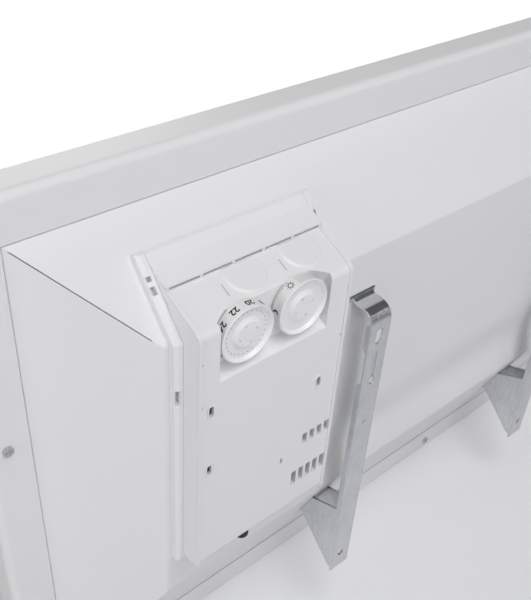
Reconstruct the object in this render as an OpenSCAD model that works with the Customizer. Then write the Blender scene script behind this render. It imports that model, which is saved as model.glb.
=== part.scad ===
// Wall-hung electric convector heater with its control box on the wall side.
// X runs along the width, +Y points at the wall, +Z is up.
// The origin is on the wall plane, in the middle of the four wall screws.

/* [Front panel] */
// Width of the front panel
heater_w = 700; // [690:10:820]
// Height of the front panel
heater_h = 419; // [412:1:440]
// Distance of the panel's top edge above the upper wall screws
top_margin = 172; // [170:0.5:174]
// Distance of the panel's bottom edge below the lower wall screws
low_margin = 67; // [65:0.5:69]
// Depth of the folded front panel
panel_d = 25; // [24:0.5:30]
// Sheet thickness of the front panel
panel_t = 1; // [0.8:0.1:1.2]
// Radius of the panel's folded edges
panel_r = 5; // [3:0.5:6]
// Width of the return flange at the top and the ends of the panel
flange_w = 26; // [24:0.5:28]
// Width of the return flange at the bottom of the panel
low_flange_w = 24; // [22:0.5:26]
// Radius of the screws that hold the casing to the flange
casing_screw_r = 1.75; // [1.5:0.05:2]

/* [Rear casing] */
// Gap between the rear casing and the wall
wall_gap = 19; // [18.9:0.1:20]
// Depth of the casing behind the panel's return flange
casing_d = 48.5; // [47:0.5:50]
// Sheet thickness of the casing
casing_t = 1; // [0.8:0.1:1.2]
// Rise of the top slope, and run of the two end slopes
slope_run = 56; // [54:0.5:58]
// Height of the tapered lower part
taper_run = 108; // [106:0.5:110]
// Outside radius of the upper and side bends
bend_r = 2.5; // [1.8:0.1:3]
// Outside radius of the soft bend above the taper
taper_r = 14; // [8:1:20]
// Open seam between the casing and the return flange
seam_gap = 0.25; // [0.2:0.05:0.4]
// Depth of the shallow pressed swage
swage_d = 4.5; // [3:0.5:5]
// Height of the swage
swage_h = 74; // [66:1:78]
// Height of the swage's middle above the top of the taper
swage_lift = 35; // [33:1:37]
// Run of the swage's sloping ends
swage_end = 22; // [14:1:28]
// Clear distance from the swage to the control box
swage_clear = 8; // [5:1:14]
// Clear distance from the swage to the far side bend
swage_margin = 26; // [18:1:40]

/* [Air openings] */
// Length of the outlet in the front
outlet_w = 560; // [520:10:580]
// Height of the outlet
outlet_h = 48; // [44:1:50]
// Distance from the panel's top edge down to the outlet
outlet_drop = 30; // [28:1:34]
// Number of louvres in the outlet
louvre_n = 5; // [4:1:6]
// Thickness of a louvre
louvre_t = 1.4; // [1.2:0.1:1.8]
// Depth of a louvre
louvre_d = 11; // [9:0.5:12]
// Tilt of the louvres
louvre_tilt = 32; // [25:1:38]
// Width of one intake slot in the bottom
intake_slot_w = 3.6; // [3:0.1:4]
// Distance between intake slots
intake_pitch = 9; // [8:0.5:12]
// Distance from the panel's ends to the intake slots
intake_margin = 50; // [45:1:70]

/* [Wall brackets] */
// Distance from the panel's ends to the middle of each bracket
bracket_margin = 232; // [230:0.5:234]
// Width of the bracket strip
bracket_w = 18; // [17:0.5:18.5]
// Sheet thickness of the brackets
bracket_t = 1.5; // [1.2:0.1:1.8]
// Radius of the wall screw holes
wall_hole_r = 2.75; // [2.25:0.25:3]
// Height of the levelling slot above the upper wall screw
level_slot_rise = 37; // [35:0.5:39]
// Length of the bracket below the lower wall screw
foot_drop = 16; // [13:0.5:20]
// Height of the top tab above the upper wall screw
tab_rise = 59.5; // [58.5:0.5:60.5]
// Width of the top tab
tab_w = 22; // [20:0.5:24]
// How far the tab reaches into the casing
tab_in = 4; // [3:0.5:5]
// Rise of the tab above the neck
tab_step = 2.5; // [2:0.1:3]
// Outer radius of the bracket's neck
neck_r = 10; // [8:0.5:12]
// Depth of the bracket's side flanges
side_d = 4.3; // [3.8:0.1:5]
// Height of the hooks' axis above the lower wall screw
hook_rise = 34; // [33:0.5:36]
// Distance of the hooks' axis inside the casing's taper
hook_in = 8; // [7:0.5:9]
// Radius of the hinge pins that hang in the hooks
pin_r = 2.5; // [2:0.25:3]
// Running clearance of a hinge pin in its hook
pin_fit = 0.05; // [0.03:0.01:0.09]

/* [Heating element] */
// Distance from the panel's ends to the element's end plates
support_margin = 94; // [92:1:100]
// Gap between the fins and each end plate
fin_end_gap = 8; // [7:0.5:12]
// Radius of the sheathed rod
rod_r = 4; // [3.5:0.25:4.5]
// Width of the element across its fins
fin_span = 40; // [38:1:42]
// Thickness of a fin
fin_t = 1.6; // [1.4:0.1:2]
// Height of the element's axis above the top of the taper
element_rise = 3; // [1:1:5]
// Distance of the element's axis behind the front panel's face
element_back = 29.5; // [29:0.5:30.5]
// Sheet thickness of the inner plates
plate_t = 0.8; // [0.6:0.1:1]

/* [Control box] */
// Distance from the panel's end to the middle of the box
control_margin = 144.5; // [144:0.5:145]
// Width of the box at its foot
control_w = 118; // [117:0.5:119]
// Width of the box's cover
cover_w = 108; // [107:0.5:108.5]
// Thickness of the box behind the casing
control_t = 18; // [17.8:0.1:18]
// Height of the box's lower end above the top of the taper
control_lift = 33; // [30:1:35]
// Reach of the box up the casing's slope
control_reach = 48.8; // [48:0.2:50]
// Height of the chamfered skirt round the box
skirt_h = 6; // [5.6:0.1:6.4]
// Chamfer of the skirt
skirt_chamfer = 2; // [1.5:0.1:2.4]
// Wall thickness of the plastic parts
wall_t = 2; // [1.8:0.1:2.2]
// Clearance between the plastic parts
plastic_gap = 0.1; // [0.05:0.05:0.2]
// Fall of the reading face, in degrees
reading_tilt = 24.3; // [23:0.1:25]
// Height of the reading face above the upper bend, at the casing's rear plane
reading_z = 20.9; // [20.5:0.1:21.3]
// Radius of the knee between the reading face and the rear face
knee_r = 5; // [4:0.5:6]
// Height of the raised rim along the sides of the rear face
rim_h = 0.7; // [0.4:0.1:0.8]
// Width of that rim
rim_w = 2.4; // [2:0.1:3]
// Step of the hood above the reading face
hood_step = 3; // [2.8:0.1:3.4]
// Height of the air slot under the hood
air_slot_h = 1.6; // [1.4:0.1:1.8]
// Distance between the bridges in the air slot
bridge_pitch = 21; // [20:0.5:22]
// Depth of the pan that sinks into the casing
pan_d = 14; // [13.5:0.25:14.5]
// Width of that pan
pan_w = 90; // [88:0.5:91]
// Width of one vent slot
vent_w = 4.2; // [3.8:0.1:4.4]
// Height of an upper vent slot
vent_h = 9; // [8:0.5:10]
// Height of a lower vent slot
low_vent_h = 12.5; // [12:0.5:13]
// Distance between the vent slots
vent_pitch = 6.2; // [6:0.1:6.6]

/* [Dials] */
// Radius of the dials
dial_r = 17.5; // [17:0.25:17.75]
// Thickness of the dials
dial_t = 8; // [7.6:0.1:8.2]
// Distance between the dial axes
dial_pitch = 39.2; // [39:0.1:39.6]
// Height of the dial axes above the casing's upper bend
dial_rise = 0.8; // [0.4:0.1:1.2]
// Distance of the dials' middle from the middle of the box
dial_shift = 2.1; // [1.6:0.1:2.6]
// Radius of the floor of the bowl in a dial's face
bowl_r = 15.4; // [14.6:0.1:15.8]
// Depth of that bowl
bowl_d = 2.2; // [1.8:0.1:2.6]
// Radius of the hub's foot in the bowl
hub_r = 10; // [9:0.25:11]
// Radius of the ring of dots in the temperature dial's bowl
dot_ring_r = 13.3; // [12.8:0.1:13.8]
// Run of the hub's sloping side
hub_run = 2.5; // [1.5:0.1:3]
// Clear space between the back of a dial and its well
dial_clear = 0.8; // [0.6:0.1:1]
// Growth of the well's radius for each millimetre towards the wall
well_flare = 0.95; // [0.8:0.05:1.05]
// Radius of a dial's spindle
spindle_r = 3; // [2.5:0.25:3.25]
// Running clearance of a spindle in its bush
spindle_fit = 0.05; // [0.03:0.01:0.09]
// Drop of the finger pocket below the dial axes
pocket_drop = 23.4; // [22.5:0.1:24.5]
// Distance from the temperature dial's edge to the pocket's end
pocket_side = 0.6; // [0.5:0.1:0.9]
// Distance from the mode dial's edge to the pocket's other end
pocket_far_side = 2.6; // [2.2:0.1:2.9]
// Width of the low discs in the reading face
disc_w = 26; // [24:0.5:27]
// Height of a disc's free edge, from which it falls to nothing
disc_h = 0.8; // [0.5:0.1:1]
// Distance from a dial's axis to the middle of its disc
disc_shift = 14; // [13:0.5:15]

/* [Hidden] */
$fn = 40;
eps = 0.01;
corner_steps = 6;
touch = 0.02;

// Planes and levels of the body
rear_y = -wall_gap;
inner_y = rear_y - casing_t;
seam_y = rear_y - casing_d;
base_y = seam_y - panel_t;
front_y = seam_y - panel_d;
screw_pitch_z = heater_h - top_margin - low_margin;
top_z = top_margin + screw_pitch_z / 2;
bottom_z = top_z - heater_h;
seam_half_w = heater_w / 2 - flange_w;
seam_top_z = top_z - flange_w;
seam_low_z = bottom_z + low_flange_w;
bend_z = seam_top_z - slope_run;
face_half_w = seam_half_w - slope_run;
taper_top_z = seam_low_z + taper_run;
slope_depth = rear_y - base_y;

// Directions of the top slope and of the taper in the Y-Z plane
slope_angle = atan2(slope_depth, slope_run);
slope_dir = [-sin(slope_angle), cos(slope_angle)];
slope_normal = [cos(slope_angle), sin(slope_angle)];
taper_angle = atan2(slope_depth, taper_run);
miter = tan(slope_angle / 2);

// Levels of the brackets and of the hinge
bracket_x = heater_w / 2 - bracket_margin;
upper_hole_z = screw_pitch_z / 2;
lower_hole_z = -screw_pitch_z / 2;
tab_z = upper_hole_z + tab_rise;
foot_z = lower_hole_z - foot_drop;
hook_z = lower_hole_z + hook_rise;
hook_y = rear_y - (taper_top_z - hook_z) * tan(taper_angle) - hook_in;
hook_x = (bracket_w - bracket_t) / 2;

// Levels of the control box and its dials
control_x = heater_w / 2 - control_margin;
control_drop = bend_z - taper_top_z - control_lift;
box_low_z = bend_z - control_drop;
dial_z = bend_z + dial_rise;
temperature_x = control_x + dial_shift + dial_pitch / 2;
mode_x = control_x + dial_shift - dial_pitch / 2;
box_y = rear_y + control_t;
dial_y = box_y + 0.6;
well_y = dial_y - dial_t - 0.6;
pan_y = rear_y - pan_d;
pan_low_z = box_low_z + 12;
pan_top_z = bend_z + 14;
board_t = 1.6;
board_y = pan_y + wall_t + 5.2 + board_t;
board_w = pan_w - 2 * wall_t - 3;
board_low_z = pan_low_z + 24;
board_top_z = pan_top_z - wall_t - 1.5;
gland_r = 4;
gland_x = 12;
gland_y = rear_y + skirt_h + 5;

// Levels of the element
baffle_y = front_y + panel_t + 4;
element_y = front_y + element_back;
element_z = taper_top_z + element_rise;
support_half_w = heater_w / 2 - support_margin;
shield_y = element_y + fin_span / 2 + 3;

function unit(v) = v / norm(v);

// Points of an arc that rounds the corner b between a and c
function arc_corner(a, b, c, r) =
    let (u = unit(a - b),
         w = unit(c - b),
         half = acos(u * w) / 2,
         centre = b + unit(u + w) * r / sin(half),
         from = b + u * r / tan(half) - centre,
         to = b + w * r / tan(half) - centre)
    [for (i = [0 : corner_steps]) centre + r * unit(from + (to - from) * i / corner_steps)];

// Closed outline whose corner i is rounded to radii[i]
function rounded(p, radii) =
    let (n = len(p))
    [for (i = [0 : n - 1])
        each radii[i] > 0 ? arc_corner(p[(i + n - 1) % n], p[i], p[(i + 1) % n], radii[i]) : [p[i]]];

// Open path whose inner corners are rounded to radius r
function bent(p, r) =
    [for (i = [0 : len(p) - 1])
        each i == 0 || i == len(p) - 1 ? [p[i]] : arc_corner(p[i - 1], p[i], p[i + 1], r)];

// Normal of an open path at point i, stretched at corners so that a sheet keeps its thickness
function path_normal(p, i) =
    let (a = unit(p[min(i + 1, len(p) - 1)] - p[min(i, len(p) - 2)]),
         b = unit(p[max(i, 1)] - p[max(i - 1, 0)]),
         m = unit([-a[1] - b[1], a[0] + b[0]]))
    m / (m * [-a[1], a[0]]);

// Outline of a bent sheet of thickness t, to the left of the path p
function sheet(p, t) =
    concat(p, [for (i = [len(p) - 1 : -1 : 0]) p[i] + path_normal(p, i) * t]);

// Faces of the casing at depth y, for a skin inset by t
function slope_z(y, t) = seam_top_z - t / sin(slope_angle) - (y - base_y) / tan(slope_angle);
function taper_z(y, t) = seam_low_z + t / sin(taper_angle) + (y - base_y) / tan(taper_angle);
function end_x(y, t) = seam_half_w - t / sin(slope_angle) - (y - base_y) / tan(slope_angle);

// Point s up the casing's slope, or z above the bend on its rear face, h off the sheet
function over_slope(s, h) = [rear_y, bend_z] + s * slope_dir + h * slope_normal;
function over_face(z, h) = [rear_y + h, bend_z + z];
function over_bend(h) = over_face(h * miter, h);

// Height of the reading face at distance h behind the casing's rear plane, inset by t
function reading(h, t) = bend_z + reading_z - h * tan(reading_tilt) - t / cos(reading_tilt);

module along_x(length) rotate([90, 0, 90]) linear_extrude(length, center = true) children();
module along_y(y_low, y_high)
    translate([0, y_high, 0]) rotate([90, 0, 0]) linear_extrude(y_high - y_low) children();
module pin_y(r, y_low, y_high)
    translate([0, y_high, 0]) rotate([90, 0, 0]) cylinder(r = r, h = y_high - y_low);
module slot_2d(length, width) {
    translate([-(length - width) / 2, 0]) circle(d = width);
    translate([(length - width) / 2, 0]) circle(d = width);
    square([length - width, width], center = true);
}

// Pan-head screw along Y: shank from tip_y to seat_y, head from seat_y, with a cross recess
module screw_y(shank_r, head_r, head_h, tip_y, seat_y)
    difference() {
        union() {
            pin_y(head_r, seat_y, seat_y + head_h);
            pin_y(shank_r, tip_y, seat_y + eps);
        }
        for (turn = [0, 90])
            translate([0, seat_y + head_h, 0])
                rotate([0, turn, 0])
                cube([1.2 * head_r, head_h, head_h / 2], center = true);
    }

// Round wire of radius r along a path of points in space
wire_sides = 8;
wire_reference = [1, 1, 1];
function wire_ring(path, i, r) =
    let (t = unit(path[min(i + 1, len(path) - 1)] - path[max(i - 1, 0)]),
         side = unit(cross(t, wire_reference)),
         up = cross(t, side))
    [for (j = [0 : wire_sides - 1])
        path[i] + r * (cos(360 * j / wire_sides) * side + sin(360 * j / wire_sides) * up)];
module wire(path, r) {
    n = wire_sides;
    last = (len(path) - 1) * n;
    points = [for (i = [0 : len(path) - 1]) each wire_ring(path, i, r)];
    skin = [for (i = [0 : len(path) - 2], j = [0 : n - 1], k = [0, 1])
        let (a = i * n + j, b = i * n + (j + 1) % n)
        k == 0 ? [a, b + n, b] : [a, a + n, b + n]];
    near_cap = [for (j = [2 : n - 1]) [0, j - 1, j]];
    far_cap = [for (j = [2 : n - 1]) [last, last + j, last + j - 1]];
    polyhedron(points, concat(skin, near_cap, far_cap));
}

// Rounded box of the front panel, inset by t
module panel_block(t) {
    r = panel_r - t;
    radii = [r, r, r, r];
    intersection() {
        along_x(heater_w - 2 * t)
            polygon(rounded([[front_y + t, bottom_z + t], [seam_y - t, bottom_z + t],
                             [seam_y - t, top_z - t], [front_y + t, top_z - t]], radii));
        translate([0, 0, bottom_z])
            linear_extrude(heater_h)
            polygon(rounded([[-heater_w / 2 + t, front_y + t], [heater_w / 2 - t, front_y + t],
                             [heater_w / 2 - t, seam_y - t], [-heater_w / 2 + t, seam_y - t]],
                            radii));
    }
}

// Places where the casing is screwed to the return flange
screw_low_z = bottom_z + low_flange_w / 2;
screw_side_x = heater_w / 2 - flange_w / 2;
screw_inner_x = bracket_x - 41;
casing_screw_spots = concat(
    [for (x = [-3, -1, 1, 3]) [x * screw_inner_x, screw_low_z]],
    [for (side = [-1, 1], z = [-60, 110]) [side * screw_side_x, z]]);

module front_panel() {
    slot_n = floor((heater_w - 2 * intake_margin) / intake_pitch);
    color([0.93, 0.93, 0.93])
    difference() {
        panel_block(0);
        panel_block(panel_t);
        casing_block(-seam_gap, base_y - 1);
        translate([-outlet_w / 2, front_y - 1, top_z - outlet_drop - outlet_h])
            cube([outlet_w, panel_t + 2, outlet_h]);
        for (i = [0 : slot_n])
            translate([(i - slot_n / 2) * intake_pitch - intake_slot_w / 2,
                       front_y + panel_r + 1, bottom_z - 1])
                cube([intake_slot_w, panel_d - 2 * panel_r - 2, panel_t + 2]);
        for (spot = casing_screw_spots)
            translate([spot[0], 0, spot[1]]) pin_y(casing_screw_r + touch, base_y - 1, seam_y + 1);
    }
}

module casing_screws() {
    color([0.55, 0.56, 0.58])
    for (spot = casing_screw_spots)
        translate([spot[0], 0, spot[1]])
            screw_y(casing_screw_r, 3.2, 1.8, base_y - casing_t - 5, seam_y);
}

// Hipped box of the casing, inset by t, from depth y_from to its rear face
module casing_block(t, y_from) {
    y_rear = rear_y - t;
    r = bend_r - t;
    intersection() {
        along_x(heater_w)
            polygon(rounded([[y_from, taper_z(y_from, t)], [y_rear, taper_z(y_rear, t)],
                             [y_rear, slope_z(y_rear, t)], [y_from, slope_z(y_from, t)]],
                            [0, taper_r - t, r, 0]));
        translate([0, 0, bottom_z])
            linear_extrude(heater_h)
            polygon(rounded([[-end_x(y_from, t), y_from], [end_x(y_from, t), y_from],
                             [end_x(y_rear, t), y_rear], [-end_x(y_rear, t), y_rear]],
                            [0, 0, r, r]));
    }
}

// Space that the swage takes out of the casing, grown by t for the inner skin
swage_z = taper_top_z + swage_lift;
swage_left_x = control_x - control_w / 2 - swage_clear;
swage_right_x = -face_half_w + swage_margin;
swage_steps = 16;
module swage_space(t) {
    depth = rear_y - t;
    wave = [for (i = [0 : swage_steps])
        [depth - swage_d * (1 - cos(360 * i / swage_steps)) / 2,
         swage_z + swage_h * (0.5 - i / swage_steps)]];
    intersection() {
        along_x(heater_w)
            polygon(concat([[rear_y + 1, swage_z + swage_h / 2]], wave,
                           [[rear_y + 1, swage_z - swage_h / 2]]));
        translate([0, 0, bottom_z])
            linear_extrude(heater_h)
            polygon([[swage_right_x, rear_y + 1], [swage_right_x, depth],
                     [swage_right_x + swage_end, depth - swage_d - eps],
                     [swage_left_x - swage_end, depth - swage_d - eps],
                     [swage_left_x, depth], [swage_left_x, rear_y + 1]]);
    }
}

base_screw_x = (pan_w + cover_w - 2 * wall_t) / 4;
base_screw_r = 1.5;
base_screw_spots = [for (side = [-1, 1], z = [20 - control_drop, -14])
    [control_x + side * base_screw_x, bend_z + z]];
hook_window_h = 34;

// Fine groove along the hip between the top slope and an end slope
module hip_seam(side) {
    width = 0.3;
    share = 0.93;
    start = 0.06;
    hull()
        for (at = [start, share])
            translate([side * (seam_half_w - at * slope_run), base_y + at * slope_depth - 1,
                       seam_top_z - at * slope_run])
                cube([width, 4, width], center = true);
}

module rear_casing() {
    ring_x = heater_w / 2 - panel_r - 0.5;
    ring_top = top_z - panel_r - 0.5;
    ring_low = bottom_z + panel_r + 0.5;
    color([0.91, 0.91, 0.92])
    difference() {
        union() {
            casing_block(0, base_y - casing_t);
            translate([-ring_x, base_y - casing_t, ring_low])
                cube([2 * ring_x, casing_t, ring_top - ring_low]);
        }
        swage_space(0);
        for (side = [-1, 1]) hip_seam(side);
        difference() {
            casing_block(casing_t, base_y - casing_t - 1);
            swage_space(casing_t);
        }
        for (side = [-1, 1])
            translate([side * bracket_x, 0, 0]) {
                translate([0, inner_y, tab_z - bracket_t / 2])
                    cube([tab_w + 2.4, 6, bracket_t + 2.4], center = true);
                for (x = [-hook_x, hook_x])
                    translate([x, hook_y + hook_in, hook_z - 2])
                        cube([bracket_t + 1.8, 3 * hook_in, hook_window_h], center = true);
            }
        translate([control_x - pan_w / 2 - 0.4, pan_y - 0.4, pan_low_z - 0.4])
            cube([pan_w + 0.8, pan_d + 20, pan_top_z - pan_low_z + 0.8]);
        for (spot = casing_screw_spots)
            translate([spot[0], 0, spot[1]])
                pin_y(casing_screw_r + touch, base_y - casing_t - 1, base_y + 1);
        for (spot = base_screw_spots)
            translate([spot[0], 0, spot[1]]) pin_y(base_screw_r + touch, inner_y - 1, rear_y + 1);
        translate([earth_x, 0, earth_z]) pin_y(earth_r + touch, inner_y - 1, rear_y + 1);
    }
}

// Outlet grille: a frame behind the panel's window, with tilted louvres and upright ribs
module outlet_grille() {
    mid_z = top_z - outlet_drop - outlet_h / 2;
    lap = 5;
    frame_y = front_y + panel_t;
    frame_t = 1.5;
    rib_n = 6;
    rib_w = 2;
    reach = louvre_d * cos(louvre_tilt);
    color([0.86, 0.86, 0.87])
    intersection() {
        union() {
            difference() {
                translate([-outlet_w / 2 - lap, frame_y, mid_z - outlet_h / 2 - lap])
                    cube([outlet_w + 2 * lap, frame_t, outlet_h + 2 * lap]);
                translate([-outlet_w / 2 + 1, frame_y - 1, mid_z - outlet_h / 2 + 1])
                    cube([outlet_w - 2, frame_t + 2, outlet_h - 2]);
            }
            for (i = [0 : louvre_n - 1])
                translate([0, frame_y + reach / 2 - 0.2,
                           mid_z + (i - (louvre_n - 1) / 2) * outlet_h / louvre_n])
                    rotate([-louvre_tilt, 0, 0])
                    cube([outlet_w + 2, louvre_d, louvre_t], center = true);
            for (i = [0 : rib_n])
                translate([(i / rib_n - 0.5) * (outlet_w - rib_w) - rib_w / 2, frame_y,
                           mid_z - outlet_h / 2 - 1])
                    cube([rib_w, reach - 1, outlet_h + 2]);
        }
        translate([-heater_w / 2, frame_y, mid_z - outlet_h / 2 - lap])
            cube([heater_w, 2 * louvre_d, outlet_h + 2 * lap]);
    }
}

// Plate under the top slope that turns the rising air forward into the outlet
module air_deflector() {
    rest = 0.2;
    y_low = pan_y - 7;
    path = [[base_y - casing_t - 8, slope_z(base_y, casing_t) + 3],
            [base_y + 4, slope_z(base_y + 4, casing_t) - rest],
            [y_low, slope_z(y_low, casing_t) - rest]];
    color([0.72, 0.73, 0.75])
    along_x(2 * support_half_w) polygon(sheet(path, -plate_t));
}

plate_half_w = support_half_w - 0.2;
support_low_z = element_z - 40;

// Plate between the element and the front panel
module front_baffle() {
    low_z = support_low_z - 14;
    high_z = element_z + 120;
    path = [[baffle_y + 9, low_z - 7], [baffle_y, low_z], [baffle_y, high_z],
            [baffle_y + 7, high_z + 7]];
    color([0.74, 0.75, 0.77])
    along_x(2 * plate_half_w) polygon(sheet(path, -plate_t));
}

// Plate between the element and the rear casing, which carries the cut-out
module heat_shield() {
    path = [[shield_y, element_z - 24], [shield_y, element_z + 29],
            [shield_y - 6, element_z + 35]];
    color([0.80, 0.81, 0.83])
    difference() {
        along_x(2 * plate_half_w) polygon(sheet(path, plate_t));
        translate([cutout_x, 0, cutout_z]) pin_y(cutout_r + 0.1, shield_y - 5, shield_y + 5);
        for (spot = cutout_screw_spots)
            translate([spot[0], 0, spot[1]]) pin_y(1.5 + touch, shield_y - 5, shield_y + 5);
    }
}

// Finned element on a straight sheathed rod
rod_half_w = support_half_w + 9;
module element_rod() {
    color([0.62, 0.60, 0.58])
    translate([0, element_y, element_z])
        rotate([0, 90, 0])
        cylinder(r = rod_r, h = 2 * rod_half_w, center = true);
}

module element_fins() {
    fin_tilt = 38;
    tip_w = 8;
    short_share = 0.56;
    color([0.83, 0.84, 0.86])
    translate([0, element_y, element_z])
        along_x(2 * (support_half_w - fin_end_gap))
        difference() {
            union() {
                circle(r = rod_r + 2.6);
                for (turn = [fin_tilt, 180 - fin_tilt])
                    rotate(turn) square([fin_span, fin_t], center = true);
                for (turn = [0, 90])
                    rotate(turn) square([fin_span * short_share, fin_t], center = true);
                for (turn = [fin_tilt, 180 - fin_tilt, 180 + fin_tilt, 360 - fin_tilt])
                    rotate(turn) translate([(fin_span - fin_t) / 2, 0])
                        square([fin_t, tip_w], center = true);
            }
            circle(r = rod_r + touch);
        }
}

// Threaded pins with a nut at the rod's two ends
terminal_x = rod_half_w + 6.2;
terminal_nut_r = 3.4;
module element_terminals() {
    color([0.78, 0.70, 0.45])
    for (side = [-1, 1])
        translate([side * rod_half_w, element_y, element_z])
            rotate([0, 90 * side, 0]) {
                cylinder(r = rod_r - 0.4, h = 1.6);
                cylinder(r = 1.5, h = 9);
                translate([0, 0, 5]) cylinder(r = terminal_nut_r, h = 2.4, $fn = 6);
            }
}

bush_r = 8;
support_t = 1;
support_lip_w = 7;
support_lip_z = element_z + 98;
support_mid_x = support_half_w + support_t / 2;

// End plate that carries the element, with a lip welded to the casing
module element_support(side) {
    half_lip = 14;
    front = baffle_y + plate_t + 0.2;
    outline = [[front, support_low_z], [front, element_z + 60],
               [inner_y - 14, support_lip_z + half_lip], [inner_y, support_lip_z + half_lip],
               [inner_y, support_lip_z - half_lip], [shield_y, element_z + 44],
               [shield_y, support_low_z]];
    color([0.76, 0.77, 0.79])
    difference() {
        union() {
            translate([side * support_mid_x, 0, 0]) along_x(support_t) polygon(outline);
            translate([side * (support_half_w + support_lip_w / 2),
                       inner_y - support_t / 2, support_lip_z])
                cube([support_lip_w, support_t, 2 * half_lip], center = true);
        }
        translate([side * support_mid_x, element_y, element_z])
            rotate([0, 90, 0])
            cylinder(r = bush_r, h = 8, center = true);
    }
}
module element_support_left() { element_support(1); }
module element_support_right() { element_support(-1); }

// Ceramic bushes between the rod and the end plates
module support_bushes() {
    collar_t = 2.4;
    half_slot = support_t / 2 + touch;
    color([0.88, 0.86, 0.80])
    for (side = [-1, 1])
        translate([side * support_mid_x, element_y, element_z])
            rotate([0, 90, 0])
            difference() {
                union() {
                    cylinder(r = bush_r - touch, h = 2 * half_slot + 1, center = true);
                    for (z = [-half_slot - collar_t, half_slot])
                        translate([0, 0, z]) cylinder(r = bush_r + 2.5, h = collar_t);
                }
                cylinder(r = rod_r + touch, h = 20, center = true);
            }
}

// Overheat cut-out: a disc thermostat seated in the heat shield
cutout_x = control_x - 10;
cutout_z = element_z + 14;
cutout_r = 8.8;
cutout_screw_x = cutout_r + 7.2;
cutout_screw_spots = [for (side = [-1, 1]) [cutout_x + side * cutout_screw_x, cutout_z]];
tab_spread = 4.5;
tab_h = 6.2;
cutout_tab_y = shield_y + 9;
module overheat_cutout() {
    color([0.25, 0.24, 0.23])
    translate([cutout_x, 0, cutout_z]) {
        pin_y(cutout_r, shield_y - 3, shield_y + 4);
        pin_y(cutout_r - 1.2, shield_y + 4 - eps, cutout_tab_y);
        for (x = [-tab_spread, tab_spread])
            translate([x - 0.4, cutout_tab_y - eps, -tab_h / 2]) cube([0.8, 4, tab_h]);
    }
}

// Clamp over the cut-out, with a foot at each side
module cutout_clamp() {
    lip_y = shield_y + 4.1;
    leg_x = cutout_r + 0.6;
    leg_h = lip_y + plate_t - shield_y - 0.1;
    clamp_h = 18;
    color([0.75, 0.76, 0.78])
    translate([cutout_x, 0, cutout_z])
        difference() {
            union() {
                along_y(lip_y, lip_y + plate_t) square([2 * (leg_x + plate_t), clamp_h], center = true);
                for (side = [-1, 1]) {
                    translate([side * (leg_x + plate_t / 2), lip_y + plate_t - leg_h / 2, 0])
                        cube([plate_t, leg_h, clamp_h], center = true);
                    translate([side * cutout_screw_x, shield_y + 0.1 + plate_t / 2, 0])
                        cube([2 * (cutout_screw_x - leg_x), plate_t, clamp_h], center = true);
                }
            }
            pin_y(cutout_r - 1, lip_y - 1, lip_y + 3);
            for (side = [-1, 1])
                translate([side * cutout_screw_x, 0, 0]) pin_y(1.5 + touch, shield_y - 1, lip_y);
        }
}

module cutout_screws() {
    color([0.6, 0.61, 0.63])
    for (spot = cutout_screw_spots)
        translate([spot[0], 0, spot[1]])
            screw_y(1.5, 2.8, 1.6, shield_y - 3.5, shield_y + 0.1 + plate_t);
}

// Wires run in one plane between the heat shield and the rear casing
wire_r = 1.2;
wire_bend = 1.2;
wire_y = cutout_tab_y + 2.6;
wire_pin_gap = 3.4;
wire_end_y = element_y + terminal_nut_r + 0.15;
grommet_x = control_x - 20;
wire_start_z = board_low_z + 9;
solder_y = board_y - board_t - 0.1;
live_x = grommet_x + wire_pin_gap;
neutral_x = grommet_x - wire_pin_gap;
module live_wire() {
    tab_x = cutout_x + tab_spread;
    color([0.42, 0.27, 0.18])
    wire(bent([[live_x, solder_y, wire_start_z], [live_x, wire_y, wire_start_z],
               [live_x, wire_y, pan_low_z - 6], [tab_x, wire_y, pan_low_z - 15],
               [tab_x, wire_y, cutout_z + tab_h / 2 + 0.2]], wire_bend), wire_r);
}
module link_wire() {
    tab_x = cutout_x - tab_spread;
    run_z = cutout_z - cutout_r - 3.4;
    color([0.42, 0.27, 0.18])
    wire(bent([[tab_x, wire_y, cutout_z - tab_h / 2 - 0.2], [tab_x, wire_y, run_z],
               [terminal_x, wire_y, run_z], [terminal_x, element_y + 14, element_z],
               [terminal_x, wire_end_y, element_z]], 4 * wire_r), wire_r);
}
module neutral_wire() {
    run_z = pan_low_z - 10;
    color([0.25, 0.36, 0.55])
    wire(bent([[neutral_x, solder_y, wire_start_z], [neutral_x, wire_y, wire_start_z],
               [neutral_x, wire_y, run_z], [-terminal_x, wire_y, run_z],
               [-terminal_x, element_y + 14, element_z], [-terminal_x, wire_end_y, element_z]],
              wire_bend), wire_r);
}

// Grommet in the pan's lower wall
grommet_w = 13;
grommet_d = 4;
module grommet_2d(grow)
    translate([grommet_x, wire_y]) slot_2d(grommet_w + 2 * grow, grommet_d + 2 * grow);
module wire_grommet() {
    collar = 0.5;
    color([0.15, 0.15, 0.16])
    difference() {
        union() {
            translate([0, 0, pan_low_z - 1]) linear_extrude(wall_t + 2) grommet_2d(0);
            translate([0, 0, pan_low_z - 1]) linear_extrude(1 - touch) grommet_2d(collar);
            translate([0, 0, pan_low_z + wall_t + touch]) linear_extrude(1 - touch) grommet_2d(collar);
        }
        for (x = [live_x, neutral_x])
            translate([x, wire_y, pan_low_z - 3]) cylinder(r = wire_r + touch, h = 10);
    }
}

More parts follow.
